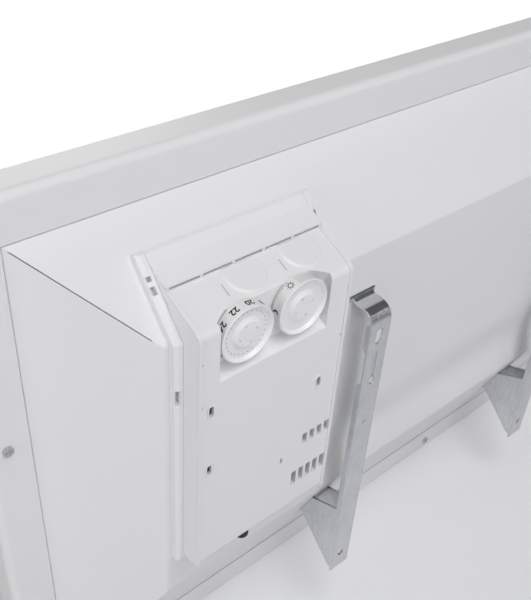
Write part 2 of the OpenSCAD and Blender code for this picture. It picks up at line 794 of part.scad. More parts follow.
// Earth stud welded into the casing below the pan, with its wire
earth_x = control_x + board_w / 2 - 22.5;
earth_wire_x = earth_x + 12;
earth_z = pan_low_z - 20;
earth_r = 2;
module earth_stud() {
    color([0.80, 0.66, 0.35])
    translate([earth_x, 0, earth_z]) {
        pin_y(earth_r, inner_y - 10.5, rear_y);
        pin_y(4, inner_y - 0.8, inner_y);
        translate([0, inner_y - 4, 0])
            rotate([90, 0, 0])
            cylinder(r = 4, h = 2.4, $fn = 6);
    }
}
module earth_wire() {
    color([0.35, 0.55, 0.25])
    wire(bent([[earth_wire_x, solder_y, wire_start_z], [earth_wire_x, wire_y, wire_start_z],
               [earth_wire_x, wire_y, earth_z], [earth_x + earth_r + 0.1, wire_y, earth_z]],
              wire_bend), wire_r);
}

// Hinge at the lower hooks
saddle_t = 1.2;
saddle_x = bracket_w / 2 + 2;
module hinge_pins() {
    half = saddle_x + saddle_t + 2;
    color([0.6, 0.61, 0.63])
    for (side = [-1, 1])
        translate([side * bracket_x, hook_y, hook_z])
            rotate([0, 90, 0]) {
                cylinder(r = pin_r, h = 2 * half, center = true);
                for (z = [-half - 1, half])
                    translate([0, 0, z]) cylinder(r = pin_r + 1, h = 1);
            }
}

// Cheeks inside the taper that hold the hinge pins, each with a welded foot
module pin_saddles() {
    cheek_half = 7;
    cheek_front = pin_r + 1.7;
    foot_w = 9;
    depth = hook_in * cos(taper_angle) - casing_t - 0.05;
    color([0.73, 0.74, 0.76])
    for (side = [-1, 1], x = [-1, 1])
        translate([side * bracket_x + x * (saddle_x + saddle_t / 2), hook_y, hook_z])
            rotate([-taper_angle, 0, 0])
            difference() {
                union() {
                    translate([0, (depth - cheek_front) / 2, 0])
                        cube([saddle_t, depth + cheek_front, 2 * cheek_half], center = true);
                    translate([x * foot_w / 2, depth - saddle_t / 2, 0])
                        cube([foot_w, saddle_t, 2 * cheek_half], center = true);
                }
                rotate([0, 90, 0]) cylinder(r = pin_r + touch, h = 10, center = true);
            }
}

// Wall bracket: a strip with a springy neck and tab, side flanges and two hooked ears
module wall_bracket(side) {
    neck_z = tab_z - tab_step;
    kink_run = 2.2;
    neck_rise = 0.6;
    head_y = rear_y + 0.8;
    tab_end = rear_y - tab_in;
    notch = pin_r + pin_fit;
    level_z = upper_hole_z + level_slot_rise;
    strip = sheet(concat(
        [[0, foot_z]],
        arc_corner([0, foot_z], [0, neck_z], [head_y + kink_run, neck_z + neck_rise], neck_r),
        [[head_y + kink_run, neck_z + neck_rise], [head_y, tab_z], [tab_end, tab_z]]), bracket_t);
    flange_low = [[-0.5, foot_z + 4], [-side_d, foot_z + 4], [hook_y - 2, hook_z - 8.5],
                  [hook_y - 5.4, hook_z - 4], [hook_y - 5.4, hook_z + 3],
                  [hook_y - notch, hook_z + 3], [hook_y - notch, hook_z],
                  [hook_y + notch, hook_z], [hook_y + notch, hook_z + 6],
                  [-side_d, hook_z + 20], [-side_d, upper_hole_z - 2], [-0.5, upper_hole_z + 2]];
    flange_high = [[-0.5, level_z - 12], [-side_d, level_z - 8],
                   [-side_d, neck_z - neck_r - 1], [-0.5, neck_z - neck_r + 1]];
    color([0.62, 0.63, 0.65])
    translate([side * bracket_x, 0, 0])
        difference() {
            union() {
                along_x(bracket_w) polygon(strip);
                intersection() {
                    along_x(tab_w) polygon(strip);
                    translate([-tab_w, tab_end - 1, tab_z - 4])
                        cube([2 * tab_w, head_y - tab_end + 1, 8]);
                }
                for (x = [-hook_x, hook_x])
                    translate([x, 0, 0])
                        along_x(bracket_t) {
                            polygon(flange_low);
                            polygon(flange_high);
                        }
            }
            translate([0, hook_y, hook_z])
                rotate([0, 90, 0])
                cylinder(r = notch, h = 2 * bracket_w, center = true);
            for (z = [upper_hole_z, lower_hole_z])
                translate([0, 0, z]) pin_y(wall_hole_r, -bracket_t - 1, 1);
            translate([0, 0, level_z])
                along_y(-bracket_t - 1, 1) rotate(90) slot_2d(12, 6.5);
            translate([0, 0, (level_z + upper_hole_z) / 2 - 5])
                along_y(-0.6, 1) rotate(90) slot_2d(22, 3);
            translate([0, 0, upper_hole_z - 37.5]) pin_y(1.5, -bracket_t - 1, 1);
        }
}
module wall_bracket_left() { wall_bracket(1); }
module wall_bracket_right() { wall_bracket(-1); }

// Control box: base
foot_half = control_w / 2;
crest_half = foot_half - skirt_chamfer;
cover_half = cover_w / 2;
well_half = cover_half + plastic_gap;
ring_w = foot_half - well_half;
module at_box() translate([control_x, 0, 0]) children();

// Parts of the side outline, between heights h_low and h_high over the casing
module face_side(h_low, h_high, z_low)
    polygon([over_face(z_low, h_low), over_face(z_low, h_high), over_bend(h_high), over_bend(h_low)]);
module slope_side(h_low, h_high, s_high)
    polygon([over_bend(h_low), over_bend(h_high), over_slope(s_high, h_high), over_slope(s_high, h_low)]);

// Chamfered cross-section of the skirt, run along the rear face and along the slope
module skirt_section()
    polygon([[-foot_half, -1], [foot_half, -1], [foot_half, skirt_h - skirt_chamfer],
             [crest_half, skirt_h], [-crest_half, skirt_h], [-foot_half, skirt_h - skirt_chamfer]]);
module skirt_solid() {
    intersection() {
        along_x(control_w)
            polygon([over_face(-control_drop, 0),
                     over_face(-control_drop, skirt_h - skirt_chamfer),
                     over_face(-control_drop + skirt_chamfer, skirt_h),
                     over_bend(skirt_h), over_bend(0)]);
        translate([0, rear_y, box_low_z - 1])
            linear_extrude(control_drop + 10)
            skirt_section();
    }
    intersection() {
        along_x(control_w)
            polygon([over_bend(0), over_bend(skirt_h),
                     over_slope(control_reach - skirt_chamfer, skirt_h),
                     over_slope(control_reach, skirt_h - skirt_chamfer),
                     over_slope(control_reach, 0)]);
        translate([0, rear_y, bend_z])
            rotate([slope_angle, 0, 0])
            translate([0, 0, -10])
            linear_extrude(control_reach + 12)
            skirt_section();
    }
}

flange_t = 1.6;
pillar_spots = [for (x = [-1, 1], z = [board_low_z + 5, board_top_z - 31])
    [x * (board_w / 2 - 5), z]];
clamp_z = pan_low_z + 13;
clamp_y = pan_y + wall_t + 15;
clamp_screw_x = 12;
snap_h = 10;
snap_z = bend_z - 33.5;
window_w = 2.4;
window_x = crest_half + 0.2;
catch_y = rear_y + flange_t + 1.2;
catch_t = 1.4;
slope_windows = [[28, 4.4], [34.4, 2.6]];

module control_base() {
    color([0.94, 0.94, 0.94])
    at_box() {
        difference() {
            union() {
                skirt_solid();
                intersection() {
                    translate([-pan_w / 2, pan_y, pan_low_z])
                        cube([pan_w, pan_d + 20, pan_top_z - pan_low_z]);
                    along_x(control_w)
                        polygon([over_face(-control_drop, flange_t), over_bend(flange_t),
                                 over_slope(control_reach, flange_t), [pan_y - 20, bend_z],
                                 [pan_y - 20, box_low_z]]);
                }
                for (spot = pillar_spots)
                    translate([spot[0], 0, spot[1]])
                        pin_y(3.5, pan_y + 0.5, board_y - board_t - touch);
            }
            along_x(2 * well_half) {
                face_side(flange_t, skirt_h + 1, -control_drop + ring_w);
                slope_side(flange_t, skirt_h + 1, control_reach + 1);
            }
            difference() {
                translate([-pan_w / 2 + wall_t, pan_y + wall_t, pan_low_z + wall_t])
                    cube([pan_w - 2 * wall_t, pan_d + 20, pan_top_z - pan_low_z - 2 * wall_t]);
                for (spot = pillar_spots)
                    translate([spot[0], 0, spot[1]])
                        pin_y(3.5, pan_y + 0.5, board_y - board_t - touch);
                for (side = [-1, 1])
                    translate([gland_x + side * clamp_screw_x, 0, clamp_z])
                        pin_y(3.5, pan_y + 0.5, clamp_y);
            }
            for (side = [-1, 1]) {
                translate([side * window_x, rear_y + skirt_h, snap_z])
                    cube([window_w, 2 * (skirt_h - flange_t), snap_h], center = true);
                translate([side * (well_half + window_x) / 2, catch_y, snap_z])
                    cube([window_x - well_half + 1, catch_t + 0.4, snap_h], center = true);
                for (window = slope_windows)
                    translate([0, rear_y, bend_z])
                        rotate([slope_angle, 0, 0])
                        translate([side * window_x, skirt_h, window[0]])
                        cube([window_w, 2 * (skirt_h - flange_t), window[1]], center = true);
                translate([gland_x + side * clamp_screw_x, 0, clamp_z])
                    pin_y(1.4, pan_y + wall_t + 2, clamp_y + 1);
            }
            for (spot = pillar_spots)
                translate([spot[0], 0, spot[1]]) pin_y(1.4, pan_y + wall_t, board_y);
            for (spot = base_screw_spots)
                translate([spot[0] - control_x, 0, spot[1]])
                    pin_y(base_screw_r + touch, rear_y - 1, rear_y + 5);
            translate([-control_x, 0, pan_low_z - 1]) linear_extrude(wall_t + 2) grommet_2d(touch);
            translate([earth_wire_x - control_x, wire_y, pan_low_z - 1])
                cylinder(r = wire_r + 0.1, h = wall_t + 2);
            translate([gland_x, gland_y, box_low_z - 1]) cylinder(r = gland_r + 1.2, h = ring_w + 2);
        }
    }
}

module base_screws() {
    color([0.6, 0.61, 0.63])
    for (spot = base_screw_spots)
        translate([spot[0], 0, spot[1]])
            screw_y(base_screw_r, 2.6, 1.5, inner_y - 4, rear_y + flange_t + touch);
}

// Control box: cover
lip_h = -9.3;
cover_low = -control_drop + ring_w + plastic_gap;
cover_foot = flange_t + plastic_gap;

// How far up the slope the hood leaves the skirt's level, for a skin inset by t
function hood_bend_s(t) =
    let (h = skirt_h - t,
         top = hood_step + reading_z - t / cos(reading_tilt))
    (top - h * slope_normal[0] * tan(reading_tilt) - h * slope_normal[1])
    / (slope_dir[1] + slope_dir[0] * tan(reading_tilt));

// Side outline of the cover, inset by t, with its foot at height foot over the casing
function cover_outline(t, foot, low_r) =
    let (rear = control_t - t,
         lip = lip_h - t,
         low = over_face(cover_low + t, rear),
         knee = over_face(reading(rear, t) - bend_z, rear))
    concat(
        [over_face(cover_low + t, foot)],
        arc_corner(over_face(cover_low + t, foot), low, knee, low_r),
        arc_corner(low, knee, [rear_y, reading(0, t)], knee_r - t),
        [[rear_y + lip, reading(lip, t)],
         [rear_y + lip, reading(lip, t) + hood_step],
         over_slope(hood_bend_s(t), skirt_h - t),
         over_slope(control_reach - t - skirt_chamfer, skirt_h - t),
         over_slope(control_reach - t, skirt_h - t - skirt_chamfer),
         over_slope(control_reach - t, foot),
         over_bend(foot)]);
module cover_solid() along_x(cover_w) polygon(cover_outline(0, cover_foot, 3));

// Space of the dial well and of the finger pocket below it, grown by t
floor_clear = 1.1;
module pocket_space(t) {
    left_x = temperature_x + dial_r + pocket_side + t;
    right_x = mode_x - dial_r - pocket_far_side - t;
    low_z = dial_z - pocket_drop - t;
    floor_z = dial_z - dial_r - floor_clear - t;
    deep_y = well_y - t;
    out_y = rear_y + 30;
    back_r = dial_r + dial_clear + t;
    flare_d = out_y - deep_y;
    intersection() {
        union() {
            for (x = [temperature_x, mode_x])
                translate([x, deep_y, dial_z])
                    rotate([-90, 0, 0])
                    cylinder(r1 = back_r, r2 = back_r + well_flare * flare_d, h = flare_d);
            translate([(temperature_x + mode_x) / 2, 0, 0])
                along_x(dial_pitch)
                polygon([[deep_y, dial_z], [out_y, dial_z],
                         [out_y, dial_z + back_r + well_flare * flare_d],
                         [deep_y, dial_z + back_r]]);
        }
        translate([right_x, deep_y - 1, floor_z]) cube([left_x - right_x, 60, 60]);
    }
    translate([(left_x + right_x) / 2, 0, 0])
        along_x(left_x - right_x)
        polygon([[deep_y, floor_z], [box_y + t, low_z], [out_y, low_z],
                 [out_y, dial_z + 4], [deep_y, dial_z + 4]]);
}

// Chamfer along the back edge of that space, in the reading face
module pocket_brow() {
    run = 1.5;
    fall = 0.8;
    h = well_y - rear_y;
    translate([(temperature_x + mode_x) / 2, 0, 0])
        along_x(dial_pitch + dial_r)
        polygon([over_face(reading(h - run, 0) - bend_z, h - run),
                 over_face(reading(h - run, 0) - bend_z + 2, h),
                 over_face(reading(h - run, 0) - bend_z + 2, h + 1),
                 over_face(reading(h, 0) - bend_z - fall, h + 1),
                 over_face(reading(h, 0) - bend_z - fall, h)]);
}

// Low disc in the reading face beside a pointer, which falls to nothing on its far side
module low_disc(x) {
    h = -3.6;
    root = 1;
    flank = 1.8;
    intersection() {
        translate([x - disc_shift, rear_y + h, reading(h, 0)])
            rotate([-reading_tilt, 0, 0])
            rotate([0, 0, 45])
            rotate([0, -atan(disc_h / disc_w), 0])
            translate([0, 0, -root])
            cylinder(r1 = disc_w / 2 + flank * root, r2 = disc_w / 2 - flank * disc_h / 2,
                     h = root + disc_h / 2);
        translate([x - 2 * disc_w, rear_y + lip_h + 0.4, bend_z])
            cube([4 * disc_w, disc_w, 60]);
    }
}

// Raised rim along one side of the reading face and the rear face
module side_rim() {
    rear = control_t + rim_h;
    knee = over_face(reading(rear, -rim_h) - bend_z, rear);
    along_x(rim_w)
        polygon(concat(
            [over_face(cover_low, control_t - 1), over_face(cover_low, rear)],
            arc_corner(over_face(cover_low, rear), knee, [rear_y, reading(0, -rim_h)], knee_r + rim_h),
            [[rear_y + lip_h + 1, reading(lip_h + 1, -rim_h)],
             [rear_y + lip_h + 1, reading(lip_h + 1, 1)],
             over_face(6, control_t - 4), over_face(0, control_t - 1)]));
}

oval_spots = [[45, -41], [45.5, -86], [-36.7, -63.9]];
oval_l = 8;
oval_w = 3;
pinhole_spots = [[51.5, -5.2], [51.5, -34.8], [-50.8, -34.4]];
vent_x = -49.5;
vent_rows = [[63.5 - control_drop, 4, vent_h], [30.8 - control_drop, 5, low_vent_h]];
vent_pad_t = 2.5;
bridge_n = 4;
spindle_bush_r = spindle_r + 1.5;

module control_cover() {
    color([0.95, 0.95, 0.95])
    difference() {
        union() {
            at_box() {
                difference() {
                    cover_solid();
                    along_x(cover_w - 2 * wall_t) polygon(cover_outline(wall_t, flange_t - 0.5, 1));
                }
                for (side = [-1, 1]) {
                    translate([side * (cover_half - rim_w / 2), 0, 0]) side_rim();
                    translate([side * (cover_half + 0.3), catch_y, snap_z])
                        cube([2.6, catch_t, snap_h - 1], center = true);
                }
                for (spot = oval_spots)
                    translate([spot[0], 0, bend_z + spot[1]])
                        along_y(box_y - 1, box_y + 0.4) rotate(90) slot_2d(oval_l + 2.4, oval_w + 2.4);
                for (row = vent_rows)
                    translate([vent_x - vent_w / 2 - 1.5, box_y - wall_t - vent_pad_t,
                               bend_z + row[0] - row[2] / 2 - 1.5])
                        cube([(row[1] - 1) * vent_pitch + vent_w + 3, vent_pad_t + 0.5, row[2] + 3]);
            }
            for (x = [temperature_x, mode_x]) low_disc(x);
            intersection() {
                at_box() cover_solid();
                pocket_space(wall_t);
            }
        }
        pocket_space(0);
        pocket_brow();
        for (x = [temperature_x, mode_x])
            translate([x, 0, dial_z]) pin_y(spindle_bush_r + 0.2, well_y - wall_t - 1, well_y + 1);
        at_box() {
            for (i = [0 : bridge_n])
                translate([(i - bridge_n / 2) * bridge_pitch, rear_y + lip_h - 2,
                           reading(lip_h, 0) + 0.3 + air_slot_h / 2])
                    cube([bridge_pitch - 2, 10, air_slot_h], center = true);
            for (spot = oval_spots)
                translate([spot[0], 0, bend_z + spot[1]])
                    along_y(box_y - wall_t - 1, box_y + 1) rotate(90) slot_2d(oval_l, oval_w);
            for (spot = pinhole_spots)
                translate([spot[0], 0, bend_z + spot[1]]) pin_y(0.9, box_y - 1.2, box_y + 2);
            translate([-11.75, 0, box_low_z + 55])
                along_y(box_y - wall_t - 1, box_y + 1) rotate(90) slot_2d(5, 1.8);
            for (row = vent_rows, i = [0 : row[1] - 1])
                translate([vent_x + i * vent_pitch, box_y, bend_z + row[0]])
                    cube([vent_w, 2 * (wall_t + vent_pad_t + 1), row[2]], center = true);
            translate([gland_x, gland_y, box_low_z - 1])
                cylinder(r = gland_r + touch, h = ring_w + wall_t + 3);
        }
    }
}

// Dials and their spindles
face_chamfer = 0.5;
spindle_socket = 5;
module dial_body() {
    back_chamfer = 0.4;
    floor_t = dial_t - bowl_d;
    difference() {
        rotate_extrude()
            polygon([[0, 0], [dial_r - back_chamfer, 0], [dial_r, back_chamfer],
                     [dial_r, dial_t - face_chamfer], [dial_r - face_chamfer, dial_t],
                     [dial_r - face_chamfer - 0.3, dial_t], [bowl_r, floor_t],
                     [hub_r, floor_t], [hub_r - hub_run, dial_t - 0.4], [0, dial_t - 0.4]]);
        translate([0, 0, -1]) cylinder(r = spindle_r + touch, h = spindle_socket + 1);
        for (i = [0 : 3])
            rotate(18 + 90 * i) translate([6, 0, dial_t - 1.4]) cylinder(r = 0.6, h = 2);
    }
}
module at_dial(x) translate([x, dial_y - dial_t, dial_z]) rotate([-90, 0, 0]) children();
module temperature_dial() {
    dot_n = 27;
    color([0.95, 0.95, 0.95])
    at_dial(temperature_x)
        difference() {
            dial_body();
            for (i = [0 : dot_n - 1])
                rotate(360 * i / dot_n) translate([dot_ring_r, 0, dial_t - bowl_d - 0.3])
                    cylinder(r = 0.35, h = bowl_d, $fn = 16);
        }
}
module mode_dial() {
    color([0.95, 0.95, 0.95])
    at_dial(mode_x) dial_body();
}

pot_w = 17;
pot_d = 7.5;
pot_face_y = board_y + touch + pot_d;
module dial_spindle(x) {
    color([0.85, 0.85, 0.83])
    translate([x, 0, dial_z])
        pin_y(spindle_r, pot_face_y - 4, dial_y - dial_t + spindle_socket - 0.1);
}
module temperature_spindle() { dial_spindle(temperature_x); }
module mode_spindle() { dial_spindle(mode_x); }

// Rotary control with a body on the board and a bush for the spindle
module rotary_control(x) {
    translate([x, 0, dial_z])
        difference() {
            union() {
                translate([-pot_w / 2, board_y + touch, -pot_w / 2]) cube([pot_w, pot_d, pot_w]);
                pin_y(spindle_bush_r, pot_face_y - 1, well_y - 0.4);
            }
            pin_y(spindle_r + spindle_fit, pot_face_y - 4.1, rear_y + 10);
        }
}
module temperature_potentiometer() { color([0.20, 0.35, 0.50]) rotary_control(temperature_x); }
module mode_switch() { color([0.18, 0.18, 0.20]) rotary_control(mode_x); }

// Board and its components
module control_board() {
    color([0.25, 0.45, 0.28])
    at_box()
        difference() {
            translate([-board_w / 2, board_y - board_t, board_low_z])
                cube([board_w, board_t, board_top_z - board_low_z]);
            for (spot = pillar_spots)
                translate([spot[0], 0, spot[1]]) pin_y(1.7, board_y - 5, board_y + 1);
        }
}
module board_screws() {
    color([0.6, 0.61, 0.63])
    at_box()
        for (spot = pillar_spots)
            translate([spot[0], 0, spot[1]])
                screw_y(1.38, 2.6, 1.5, pan_y + wall_t + 1.5, board_y + touch);
}
function board_z(part) = board_low_z - bend_z + part * (board_top_z - board_low_z);
module on_board(x, z, w, d, h)
    at_box() translate([x - w / 2, board_y + touch, bend_z + z - h / 2]) cube([w, d, h]);
module relay() { color([0.12, 0.25, 0.50]) on_board(-22, board_z(0.575), 28, 12, 22); }
module board_fuse() {
    fuse_z = bend_z + board_z(0.275);
    color([0.80, 0.78, 0.72])
    at_box() {
        translate([20, board_y + touch + 3.2, fuse_z])
            rotate([0, 90, 0])
            cylinder(r = 3, h = 20, center = true);
        for (x = [12, 28])
            translate([x, board_y + touch + 1.6, fuse_z]) cube([2, 3.2, 4], center = true);
    }
}
module smoothing_capacitor() {
    capacitor_r = 6.5;
    color([0.15, 0.18, 0.30])
    at_box() translate([16, board_y + touch + capacitor_r, bend_z + board_z(0.425)])
        rotate([0, 90, 0])
        cylinder(r = capacitor_r, h = 20, center = true);
}
module dropper_capacitor() { color([0.75, 0.60, 0.20]) on_board(20, board_z(0.615), 24, 11, 9); }

terminal_w = 34;
terminal_h = 14;
terminal_d = 13;
terminal_z = 46 - control_drop;
terminal_screw_spots = [for (i = [-1 : 1]) [gland_x + i * 10, bend_z + terminal_z]];
module terminal_block() {
    color([0.90, 0.90, 0.86])
    difference() {
        on_board(gland_x, terminal_z, terminal_w, terminal_d, terminal_h);
        at_box()
            for (spot = terminal_screw_spots)
                translate([spot[0], 0, spot[1]]) {
                    pin_y(2.3, board_y + 6, board_y + terminal_d + 1);
                    translate([0, board_y + 4, 0]) cylinder(r = 2, h = terminal_h + 2, center = true);
                }
    }
}
module terminal_screws() {
    color([0.75, 0.70, 0.45])
    at_box()
        for (spot = terminal_screw_spots)
            translate([spot[0], 0, spot[1]])
                screw_y(1.5, 2.2, 1.6, board_y + 6.1, board_y + 9);
}

// Room temperature sensor behind the air slot
module temperature_sensor() {
    bead_z = bend_z + 17.6;
    color([0.55, 0.20, 0.15])
    at_box()
        translate([bridge_pitch / 2, board_y - board_t / 2, 0]) {
            translate([0, 0, bead_z]) sphere(r = 1.6, $fn = 24);
            for (x = [-0.8, 0.8])
                translate([x, 0, board_top_z + touch]) cylinder(r = 0.3, h = bead_z - board_top_z, $fn = 16);
        }
}

// Inlet of the supply cord, and its clamp
cord_bore_r = 3.1;
module cord_gland() {
    color([0.93, 0.93, 0.93])
    at_box()
        translate([gland_x, gland_y, box_low_z])
            difference() {
                union() {
                    translate([0, 0, -2]) cylinder(r = gland_r + 0.9, h = 2 + ring_w);
                    translate([0, 0, -2]) cylinder(r = gland_r, h = ring_w + wall_t + 4);
                }
                translate([0, 0, -3]) cylinder(r = cord_bore_r, h = ring_w + wall_t + 8);
            }
}
module cord_clamp() {
    bar_t = 3;
    color([0.93, 0.93, 0.93])
    at_box()
        translate([gland_x, clamp_y + touch + bar_t / 2, clamp_z])
            difference() {
                cube([2 * clamp_screw_x + 9, bar_t, 8], center = true);
                for (side = [-1, 1])
                    translate([side * clamp_screw_x, 0, 0]) pin_y(1.7, -5, 5);
            }
}
module clamp_screws() {
    color([0.6, 0.61, 0.63])
    at_box()
        for (side = [-1, 1])
            translate([gland_x + side * clamp_screw_x, 0, clamp_z])
                screw_y(1.38, 2.6, 1.5, pan_y + wall_t + 3, clamp_y + 3 + 2 * touch);
}

front_panel();
rear_casing();
casing_screws();
outlet_grille();
air_deflector();
front_baffle();
heat_shield();
element_rod();
element_fins();
element_terminals();
element_support_left();
element_support_right();
support_bushes();
overheat_cutout();
cutout_clamp();
cutout_screws();
live_wire();
link_wire();
neutral_wire();
wire_grommet();
earth_stud();
earth_wire();
pin_saddles();
hinge_pins();
wall_bracket_left();
wall_bracket_right();
control_base();
control_cover();
base_screws();
temperature_dial();
temperature_spindle();
temperature_potentiometer();
mode_dial();
mode_spindle();
mode_switch();
control_board();
board_screws();
relay();
smoothing_capacitor();
dropper_capacitor();
board_fuse();
terminal_block();
terminal_screws();
temperature_sensor();
cord_gland();
cord_clamp();
clamp_screws();
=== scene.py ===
# %% [markdown]
# # A wall heater seen from behind
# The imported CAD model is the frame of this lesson: every sheet, screw and dial already has its
# place and size in metres. Blender adds the finishes, the printed marks, the light and the
# camera.

# %% Load the frame
import math

import bmesh
import bpy
from mathutils import Matrix, Vector


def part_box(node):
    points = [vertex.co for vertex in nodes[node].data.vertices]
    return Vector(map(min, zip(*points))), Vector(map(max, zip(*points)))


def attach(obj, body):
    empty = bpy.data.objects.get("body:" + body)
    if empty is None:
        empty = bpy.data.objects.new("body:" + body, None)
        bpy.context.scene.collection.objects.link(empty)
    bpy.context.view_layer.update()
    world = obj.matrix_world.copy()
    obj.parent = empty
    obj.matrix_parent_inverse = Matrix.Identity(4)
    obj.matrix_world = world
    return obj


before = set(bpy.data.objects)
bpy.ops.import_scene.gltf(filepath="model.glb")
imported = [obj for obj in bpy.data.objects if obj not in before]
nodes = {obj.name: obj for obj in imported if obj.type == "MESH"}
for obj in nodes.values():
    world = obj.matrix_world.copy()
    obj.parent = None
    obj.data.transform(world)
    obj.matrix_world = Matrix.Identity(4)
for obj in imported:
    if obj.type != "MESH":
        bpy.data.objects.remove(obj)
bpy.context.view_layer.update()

MM = 0.001
scene = bpy.context.scene
scene.view_settings.view_transform = "Standard"
print("CAD nodes:", len(nodes))

# %% [markdown]
# ## Camera
# The heater is looked at from behind and above, past the control box. Azimuth, elevation and a
# slight roll turn the camera. The focal length is known in pixels of the 531 x 600 picture, so it
# becomes a lens length on a 36 mm sensor that spans the picture's long side.

# %% Camera
PICTURE_LONG_SIDE = 600
SENSOR = 36.0
FOCAL_PIXELS = 829.119
azimuth = math.radians(136.6858)
elevation = math.radians(36.4143)
roll = math.radians(4.1062)
CAMERA_PLACE = Vector((0.4502, 0.2465, 0.4492))

back = Vector((math.sin(azimuth) * math.cos(elevation),
               -math.cos(azimuth) * math.cos(elevation), math.sin(elevation)))
level_right = Vector((math.cos(azimuth), math.sin(azimuth), 0))
level_up = back.cross(level_right)
right = math.cos(roll) * level_right + math.sin(roll) * level_up
up = back.cross(right)

camera_data = bpy.data.cameras.new("camera")
camera_data.sensor_width = SENSOR
camera_data.lens = FOCAL_PIXELS * SENSOR / PICTURE_LONG_SIDE
camera_data.clip_start = 0.01
camera = bpy.data.objects.new("camera", camera_data)
scene.collection.objects.link(camera)
turn = Matrix((right, up, back)).transposed()
camera.matrix_world = Matrix.Translation(CAMERA_PLACE) @ turn.to_4x4()
scene.camera = camera
print("lens", round(camera_data.lens, 2), "mm")

# %% [markdown]
# ## Shader sums as Python sums
# A material's pattern is a chain of small nodes. Wiring them by hand hides the arithmetic, so a
# small class wraps one output socket and lets +, -, * and / add the Math nodes. Every other node
# comes from one function that takes the node's type, its settings and what goes into its sockets.

# %% Signals
class Signal:
    """One output socket of a node tree, which can be used in sums."""

    def __init__(self, tree, socket):
        self.tree = tree
        self.socket = socket

    def maths(self, operation, first, second):
        return add_node(self.tree, "ShaderNodeMath", {"operation": operation},
                        {0: first, 1: second})

    def __add__(self, other):
        return self.maths("ADD", self, other)

    def __sub__(self, other):
        return self.maths("SUBTRACT", self, other)

    def __mul__(self, other):
        return self.maths("MULTIPLY", self, other)

    def __truediv__(self, other):
        return self.maths("DIVIDE", self, other)

    def __radd__(self, other):
        return self.maths("ADD", other, self)

    def __rsub__(self, other):
        return self.maths("SUBTRACT", other, self)

    def __rmul__(self, other):
        return self.maths("MULTIPLY", other, self)


def add_node(tree, kind, settings, inputs, out=0):
    """Adds one node: its settings first, then a value or a link for each input."""
    node = tree.nodes.new(kind)
    for key, value in settings.items():
        if key == "stops":
            ramp = node.color_ramp.elements
            while len(ramp) < len(value):
                ramp.new(0.5)
            for element, (position, shade) in zip(ramp, value):
                colour = (shade, shade, shade) if isinstance(shade, float) else shade
                element.position = position
                element.color = (*colour, 1)
        else:
            setattr(node, key, value)
    for key, value in inputs.items():
        if isinstance(value, Signal):
            tree.links.new(value.socket, node.inputs[key])
        else:
            node.inputs[key].default_value = value
    return Signal(tree, node.outputs[out])


print("signals add, subtract, multiply and divide, with numbers on either side")

# %% [markdown]
# ## Patterns that several finishes share
# Object coordinates are used everywhere, because each piece keeps its place in its mesh and the
# pattern then stays still on it. A Mapping node stretches them where a finish has a direction.
# The Bevel node rounds the normal near an edge, as paint and moulding round the real edges.

# %% Shared patterns
def place(tree, stretch=(1, 1, 1)):
    coordinates = add_node(tree, "ShaderNodeTexCoord", {}, {}, out=3)
    return add_node(tree, "ShaderNodeMapping", {}, {"Vector": coordinates, "Scale": stretch})


def noise(tree, scale, detail=2.0, stretch=(1, 1, 1)):
    return add_node(tree, "ShaderNodeTexNoise", {},
                    {"Vector": place(tree, stretch), "Scale": scale, "Detail": detail})


def cells(tree, scale, out=1):
    return add_node(tree, "ShaderNodeTexVoronoi", {},
                    {"Vector": place(tree), "Scale": scale}, out=out)


def levels(tree, signal, *stops):
    return add_node(tree, "ShaderNodeValToRGB", {"stops": stops}, {0: signal})


def blend(tree, amount, first, second):
    """Mixes two colours by an amount from 0 to 1."""
    pair = [value if isinstance(value, Signal) else (*value, 1) for value in (first, second)]
    return add_node(tree, "ShaderNodeMix", {"data_type": "RGBA"},
                    {0: amount, 6: pair[0], 7: pair[1]}, out=2)


def soft_edges(tree, radius):
    return add_node(tree, "ShaderNodeBevel", {"samples": 4}, {"Radius": radius})


def relief(tree, height, distance, strength, edge=None):
    """Turns a height into a normal; edge is the radius of the softened edges."""
    inputs = {"Height": height, "Distance": distance, "Strength": strength}
    if edge:
        inputs["Normal"] = soft_edges(tree, edge)
    return add_node(tree, "ShaderNodeBump", {}, inputs)


def finish(name, fixed, look):
    """Makes a material. fixed holds the sockets that are the same all over, and look(tree)
    returns the ones that vary over the surface."""
    material = bpy.data.materials.new(name)
    material.use_nodes = True
    tree = material.node_tree
    shader = tree.nodes["Principled BSDF"]
    for socket, value in fixed.items():
        shader.inputs[socket].default_value = value
    for socket, signal in look(tree).items():
        tree.links.new(signal.socket, shader.inputs[socket])
    return material


print("patterns:", [pattern.__name__ for pattern in (noise, cells, levels, blend, relief)])

# %% [markdown]
# ## Painted sheet
# The heater is folded from steel sheet with a white powder coat. Powder melts into a film that is
# never quite flat: it has a faint orange peel about a millimetre across. A picture of a painted
# sheet would repeat and show seams at the folds, so noise does it. A fine noise gives the relief,
# and a wide one shifts colour and gloss so little that only a large face shows it.

# %% Powder coat
SHEET_WHITE = (0.845, 0.848, 0.852)
SHEET_SHADE = (0.825, 0.828, 0.835)


def powder_coat_look(tree):
    peel = noise(tree, scale=900.0, detail=3.0)
    drift = noise(tree, scale=9.0, detail=2.0)
    return {"Base Color": blend(tree, drift, SHEET_SHADE, SHEET_WHITE),
            "Roughness": 0.40 + 0.08 * drift,
            "Normal": relief(tree, peel, distance=0.04 * MM, strength=0.35, edge=0.8 * MM)}


powder_coat = finish("powder_coat", {"Specular IOR Level": 0.4}, powder_coat_look)
print("powder coat:", len(powder_coat.node_tree.nodes), "nodes")

# %% [markdown]
# ## Moulded plastic
# The control box is moulded in white plastic with a spark-eroded tool, which leaves a very fine
# even grain. It is a little whiter and glossier than the sheet. The dials come from a polished
# tool and shine more. All the plastics differ only in colour, gloss and grain, so one function
# makes them.

